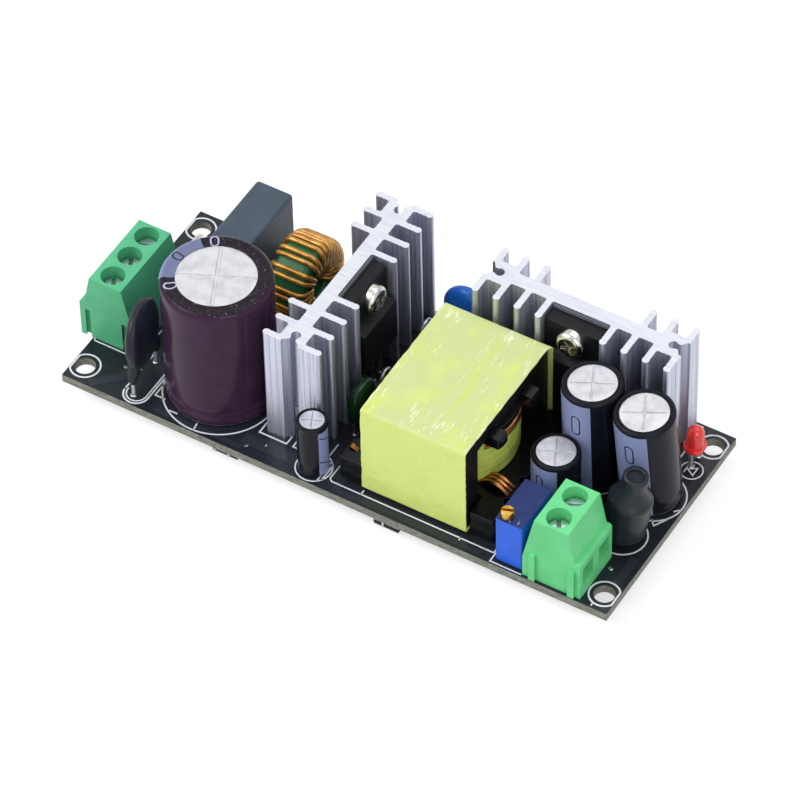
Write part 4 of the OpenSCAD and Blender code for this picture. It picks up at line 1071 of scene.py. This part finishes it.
TAPE_LEFT, TAPE_RIGHT, TAPE_LAP = 55.12, 74.38, 0.5


def tape_edges(y, z):
    """The left and right edge of the tape. Both are uneven, and its end laps out at the rear."""
    left = TAPE_LEFT + abs(0.16 * wobble(y * 0.5, z * 0.5, 7.0) + 0.07 * wobble(y * 2.2, z * 2.2, 3.0))
    right = TAPE_RIGHT - abs(0.16 * wobble(y * 0.6, z * 0.6, 17.0))
    lap = TAPE_LAP * max(0.0, min(1.0, (y - 29.0) / 0.7)) * min(1.0, (z - 0.4) / 3)
    return left, right + lap


def tape_dip(x, y, z):
    """How far the tape sags or wrinkles inwards at a place, never outwards."""
    wave = 0.05 * wobble(x * 0.28, y * 0.5, z * 0.3)
    crease = 0.07 * (0.5 - abs(wobble(x * 0.16 + 4, y * 0.62, z * 0.5)))
    fine = 0.018 * wobble(x * 1.1, y * 1.5, z * 1.1 + 9)
    return min(0.55 * (wave + crease + fine) - 0.045, 0.0)


def tape(across=40, thick=0.2):
    path = round_the_core()
    bm = bmesh.new()
    outer, inner = [], []
    for (y, z), before, after in zip(path, path[-1:] + path, path[1:] + path[:1]):
        way = (Vector(after) - Vector(before)).normalized()
        left, right = tape_edges(y, z)
        outer.append([])
        inner.append([])
        for k in range(across + 1):
            x = left + (right - left) * k / across
            dip = tape_dip(x, y, z)
            outer[-1].append(bm.verts.new((x, y + way.y * dip, z - way.x * dip)))
            inner[-1].append(bm.verts.new((x, y - way.y * thick, z + way.x * thick)))
    for i in range(len(path)):
        out_a, out_b, in_a, in_b = outer[i - 1], outer[i], inner[i - 1], inner[i]
        for k in range(across):
            bm.faces.new((out_a[k], out_a[k + 1], out_b[k + 1], out_b[k]))
            bm.faces.new((in_a[k], in_b[k], in_b[k + 1], in_a[k + 1]))
        bm.faces.new((out_a[0], out_b[0], in_b[0], in_a[0]))
        bm.faces.new((out_a[-1], in_a[-1], in_b[-1], out_b[-1]))
    add("tape_band", bm, [TAPE], node="transformer_tape", slot="yellow_tape", smooth=40)


def coil():
    """Tape drawn over round wires, with creases that run round, and the last turns of wire."""
    profile = [(4.2, 5.1), (9.9, 5.1), (10.3, 5.3)]
    for i in range(19):
        share = i / 18
        profile.append((10.42 + 0.05 * sin(i * 2.1) - 0.12 * abs(share - 0.5), 5.5 + share * 8.7))
    profile += [(10.3, 14.4), (9.9, 14.6), (4.2, 14.6)]
    bm = bmesh.new()
    lathe(bm, profile, seg=120, closed=True)

    def creased(r, a, z):
        return 0.994 + 0.012 * wobble(cos(a) * 3, sin(a) * 3, z * 0.55)

    scale_radius(bm, creased, least=9)
    place(bm, (AXIS_X, AXIS_Y, 0))
    add("coil_wrap", bm, [COIL], node="transformer_coil", slot="yellow_tape", smooth=50)
    bm = bmesh.new()
    for k in range(3):
        turn = arc(AXIS_X, AXIS_Y, 10.5 - 0.03 * k, -34, 26, 25)
        top = 14.25 - 0.62 * k
        tube(bm, [(x, y, top + 0.06 * sin(i * 0.9 + k * 2)) for i, (x, y) in enumerate(turn)], 0.3, seg=10)
    add("coil_turns", bm, [COPPER], slot="enamel_wire", smooth=60)


def wire_ends():
    """The output strands, arched over the rail, and the primary's thin ends at the other rail."""
    bm = bmesh.new()
    for k, y in enumerate((10.05, 10.9, 11.75)):
        path = []
        for i in range(23):
            share = i / 22
            height = 5.1 + 1.3 * sin(pi * share) ** 0.9
            path.append((72.85 + 5.25 * share, y + 0.05 * sin(share * 5 + k), height))
        tube(bm, path, 0.4)
    add("output_strands", bm, [COPPER], node="transformer_wires", slot="enamel_wire", smooth=60)
    bm = bmesh.new()
    for k in (-1.5, -0.5, 0.5):
        bends = [(52.7, 6.34 + 0.2 * k, 5.1), (51.4, 6.5 + 0.3 * k, 5.5),
                 (50.9, 7.2 + 0.3 * k, 4.6), (51.0, 7.6 + 0.25 * k, 3.2)]
        tube(bm, smooth_path(bends, 5), 0.16, seg=8)
    add("primary_ends", bm, [COPPER], slot="enamel_wire", smooth=60)


soften("transformer_core", [FERRITE], width=0.3, slot="ferrite")
bobbin()
soften("transformer_pins", [TIN], width=0.08, slot="tinned")
tape()
coil()
wire_ends()


# Film and disc capacitors
def film_capacitor():
    """A dipped box: nearly square from the front, swollen at its faces."""
    box_power, half = 3.2, (1.3, 3.2, 4.1)
    bm = bmesh.new()
    bmesh.ops.create_uvsphere(bm, u_segments=56, v_segments=36, radius=1)
    for v in bm.verts:
        x, y, z = v.co.normalized()
        flat = hypot(y, z)
        k = 0
        if flat > 1e-6:
            k = flat ** 0.55 / (abs(y) ** box_power + abs(z) ** box_power) ** (1 / box_power)
        v.co = copysign(abs(x) ** 0.75, x) * half[0], y * k * half[1], z * k * half[2]
    place(bm, middle("film_capacitor"))
    add("film_dip", bm, [FILM_GREEN], node="film_capacitor", slot="film_green", smooth=60)


def disc_capacitor():
    """A dipped disc on edge, whose coating runs down onto its two legs."""
    at = middle("disc_capacitor")
    bm = bmesh.new()
    dipped_disc(bm, diameter=8.8, thick=3.2, steps=20, seg=56, edge=0.85)
    for v in bm.verts:
        v.co = v.co.xzy
    place(bm, at)
    for side in (-1, 1):
        route = [(at[0] + side * dx, at[1], z) for dx, z in ((2.4, 7.0), (2.5, 5.4), (2.5, 4.2))]
        path = smooth_path(route, 4)
        last = len(path) - 1
        tube(bm, path, [0.95 - 0.5 * i / last for i in range(last + 1)], seg=14)
    add("blue_disc", bm, [BLUE_DIP], node="disc_capacitor", slot="blue_dip", smooth=60)


film_capacitor()
disc_capacitor()

# Axial parts stood on end, each with one leg bent over and down
STAND, REACH = 1.0, 2.6
LEG_END, LEG_STEP = -2.9, 0.3


def standing(node, x, y, side, diameter, length, finish, band, slot):
    """side is 1 where the bent leg stands behind the body, and -1 where it stands in front."""
    r, top = diameter / 2, STAND + length
    rounded = [(0, 0), (r * 0.6, 0), (r * 0.9, 0.12), (r, 0.4), (r * 0.97, length * 0.3)]
    bm = bmesh.new()
    low_half = [(q, STAND + z) for q, z in rounded]
    lathe(bm, low_half + [(q, top - z) for q, z in reversed(rounded)], seg=40, at=(x, y))
    body = add(node + "_body", bm, [finish, band], node=node, slot=slot, smooth=40)
    low, high = STAND + length * 0.72, STAND + length * 0.9
    second_finish(body, lambda c, n: low < c.z < high and abs(n.z) < 0.6)
    bend = top + 0.6
    steps = int((bend - LEG_END) / LEG_STEP)
    path = [(x, y, LEG_END + LEG_STEP * i) for i in range(steps)]
    for along, up in arc(REACH / 2, 0, REACH / 2, 180, 0, 14):
        path.append((x, y + side * along, bend + up))
    path += [(x, y + side * REACH, bend - LEG_STEP * i) for i in range(1, steps)]
    bm = bmesh.new()
    tube(bm, path, 0.4)
    for leg_y in (y, y + side * REACH):
        fillet = [(0.3, -0.7), (0.5, -0.4), (0.72, -0.2), (1.05, -0.03), (1.05, 0.01), (0.3, 0.01)]
        lathe(bm, [(q, UNDER + z) for q, z in fillet], seg=20, at=(x, leg_y), closed=True, uvs=False)
    add(node + "_wire", bm, [TIN], node=node, slot="tinned", smooth=60)


standing("standing_diode", 49.35, 34.5, side=-1, diameter=2.7, length=5.2,
         finish=AXIAL, band=BAND, slot="axial_dark")
standing("standing_resistor", 48.55, 20.35, side=1, diameter=2.4, length=4,
         finish=BEAD, band=BAND_GREY, slot="axial_grey")


def rod_inductor():
    """A winding in shrunk sleeve, drawn in over its top to the end of the rod."""
    winding = [(0, 0), (1.6, 0), (2.9, 0.1), (3.4, 0.5), (3.62, 1.2)]
    winding += [(3.66 - 0.03 * sin(i), 1.6 + i * 0.7) for i in range(10)]
    neck = [(3.68, 8.3), (3.66, 8.75), (3.5, 9.1), (3.2, 9.4), (2.9, 9.9), (2.6, 10.5), (2.36, 11.0)]
    end = [(2.2, 11.5), (2.14, 12.2), (2.14, 13.6), (2.12, 14.0), (2.02, 14.2), (1.85, 14.3)]
    rim = [(1.5, 14.28), (1.32, 14.1), (1.25, 13.7), (0, 13.6)]
    bm = bmesh.new()
    lathe(bm, winding + neck + end + rim, seg=80)

    def creased(r, a, z):
        deep = 0.05 if z > 8 else 0.025
        return (r + deep * wobble(cos(a) * 2.4, sin(a) * 2.4, z * 0.5) - 0.02) / r

    scale_radius(bm, creased)
    place(bm, (95.8, 15.5, 0.9), lean=(-2, 8, 0))
    add("rod_sleeve", bm, [RUBBER], node="rod_inductor", slot="rod_black", smooth=50)


rod_inductor()

# Trimmer
case = soften("trimmer_body", [BLUE_CASE, BLUE_TOP], width=0.12, slot="blue_case")
second_finish(case, lambda c, n: n.z > 0.6 and c.z > 9)
soften("trimmer_screw", [BRASS], width=0.08, slot="brass")


def indicator_lamp(at=(98.1, 35.0, 0), flat=1.63, dome_r=1.49, dome_from=6.5, top=8):
    """A domed lens on a flange, with a flat on one side of the flange."""
    flange = [(0, 3.2), (1.8, 3.2), (1.9, 3.28), (1.9, 4.1), (1.84, 4.2), (1.52, 4.22)]
    dome = [(1.5, 4.3), (dome_r, dome_from)]
    for degrees in range(10, 90, 10):
        a = radians(degrees)
        dome.append((dome_r * cos(a), dome_from + (top - dome_from) * sin(a)))
    bm = bmesh.new()
    lathe(bm, flange + dome + [(0, top)], seg=56)
    for v in bm.verts:
        if v.co.z < 4.25:
            v.co.x = min(v.co.x, flat)
    place(bm, at)
    add("lamp_lens", bm, [RED], node="indicator_lamp", slot="red_lens", smooth=40)


indicator_lamp()


# Underside: packages with tinned legs, chip parts with end caps
def package(node, leg=0.9):
    ob = soften(node, [EPOXY, TIN], width=0.06, slot="epoxy_black")
    lo, hi = box_of(node)
    second_finish(ob, lambda c, n: c.y < lo[1] + leg or c.y > hi[1] - leg)


def chip_ends(bm, row_x, row_y, pitch=2.2, count=5, length=2.0, cap=0.4, width=1.25, over=0.01):
    """A cap at both ends of each chip part in a row, a little larger than the part."""
    for i in range(count):
        left, right = row_x + i * pitch - over, row_x + i * pitch + width + over
        for low in (row_y - over, row_y + length - cap + over):
            high = low + cap
            outline = [(left, low), (right, low), (right, high), (left, high)]
            prism(bm, outline, UNDER - 0.56, UNDER)


for node in ("bridge_rectifier", "surface_diode", "controller_chip", "optocoupler"):
    package(node)
soften("chip_parts", [CHIP, TIN], width=0.05, slot="chip_brown")
caps = bmesh.new()
chip_ends(caps, row_x=28.25, row_y=23.2)
chip_ends(caps, row_x=59.75, row_y=18.5)
add("chip_ends", caps, [SOLDER], slot="tinned", smooth=None)


# Camera, at the photograph's angle. The focal length is in pixels of the photograph.
PHOTO_W, FOCAL = 800, 5660.3
SENSOR = 36
AZIMUTH, ELEVATION, ROLL = 31.776, 48.011, -1.362
LOOKS_AT, DISTANCE = (50.547, 22.666, 0), 0.91589


def camera():
    a, e, r = (radians(angle) for angle in (AZIMUTH, ELEVATION, ROLL))
    back = Vector((sin(a) * cos(e), -cos(a) * cos(e), sin(e)))
    level = Vector((cos(a), sin(a), 0))
    upright = back.cross(level)
    right = cos(r) * level + sin(r) * upright
    up = cos(r) * upright - sin(r) * level
    data = bpy.data.cameras.new("camera")
    data.sensor_width = SENSOR
    data.lens = FOCAL / PHOTO_W * SENSOR
    data.clip_start = 0.05
    data.clip_end = 20
    ob = new_object("camera", data)
    matrix = Matrix((right, up, back)).transposed().to_4x4()
    matrix.translation = spot(*LOOKS_AT) + back * DISTANCE
    ob.matrix_world = matrix
    scene.camera = ob


def seen_rays(tree):
    """1 for the rays that show a surface, also by a reflection, and 0 for those that light it."""
    path = tree.nodes.new("ShaderNodeLightPath")
    names = ("Is Camera Ray", "Is Glossy Ray", "Is Transmission Ray")
    straight, glossy, through = (Value(tree, path.outputs[name]) for name in names)
    return straight.most(glossy).most(through)


def floor_finish():
    """Plain grey with a glow for seen rays only, so that it shows pale and keeps its shadows."""
    finish = Finish("floor", (0, 0, 0), 0.9)
    finish.set(Base_Color=(0.5, 0.5, 0.5, 1), Specular_IOR_Level=0.1)
    tree = finish.tree
    glow = tree.nodes.new("ShaderNodeEmission")
    both = tree.nodes.new("ShaderNodeAddShader")
    link((seen_rays(tree) * 0.62).socket, glow.inputs["Strength"])
    link(finish.shader.outputs[0], both.inputs[0])
    link(glow.outputs[0], both.inputs[1])
    link(both.outputs[0], tree.nodes["Material Output"].inputs["Surface"])
    return finish.material


def floor(half=3):
    low = CAD_BOX[0].z
    mesh = bpy.data.meshes.new("floor")
    corners = [(-half, -half, low), (half, -half, low), (half, half, low), (-half, half, low)]
    mesh.from_pydata(corners, [], [(0, 1, 2, 3)])
    mesh.materials.append(floor_finish())
    new_object("floor", mesh)


def studio_world():
    world = bpy.data.worlds.new("studio")
    world.use_nodes = True
    tree = world.node_tree
    sky = tree.nodes["Background"]
    sky.inputs["Color"].default_value = (1, 1, 1, 1)
    link((seen_rays(tree) * 0.45 + 0.55).socket, sky.inputs["Strength"])
    scene.world = world


def lamp(name, direction, distance, size, power):
    """A rectangular lamp that shines on the part. Its distance and size are in metres."""
    data = bpy.data.lights.new(name, "AREA")
    data.shape = "RECTANGLE"
    data.size, data.size_y = size
    data.energy = power
    ob = new_object(name, data)
    way = Vector(direction).normalized()
    ob.location = way * distance
    ob.rotation_mode = "QUATERNION"
    ob.rotation_quaternion = way.to_track_quat("Z", "Y")


camera()
floor()
studio_world()
lamp("key", (-0.75, -0.6, 1.0), distance=0.8, size=(0.5, 0.5), power=3.7)
lamp("fill", (0.9, -0.75, 0.8), distance=0.9, size=(0.4, 0.6), power=2.3)
lamp("top", (0.1, 0.45, 1.0), distance=0.8, size=(0.7, 0.35), power=1.3)
scene.view_settings.view_transform = "Standard"
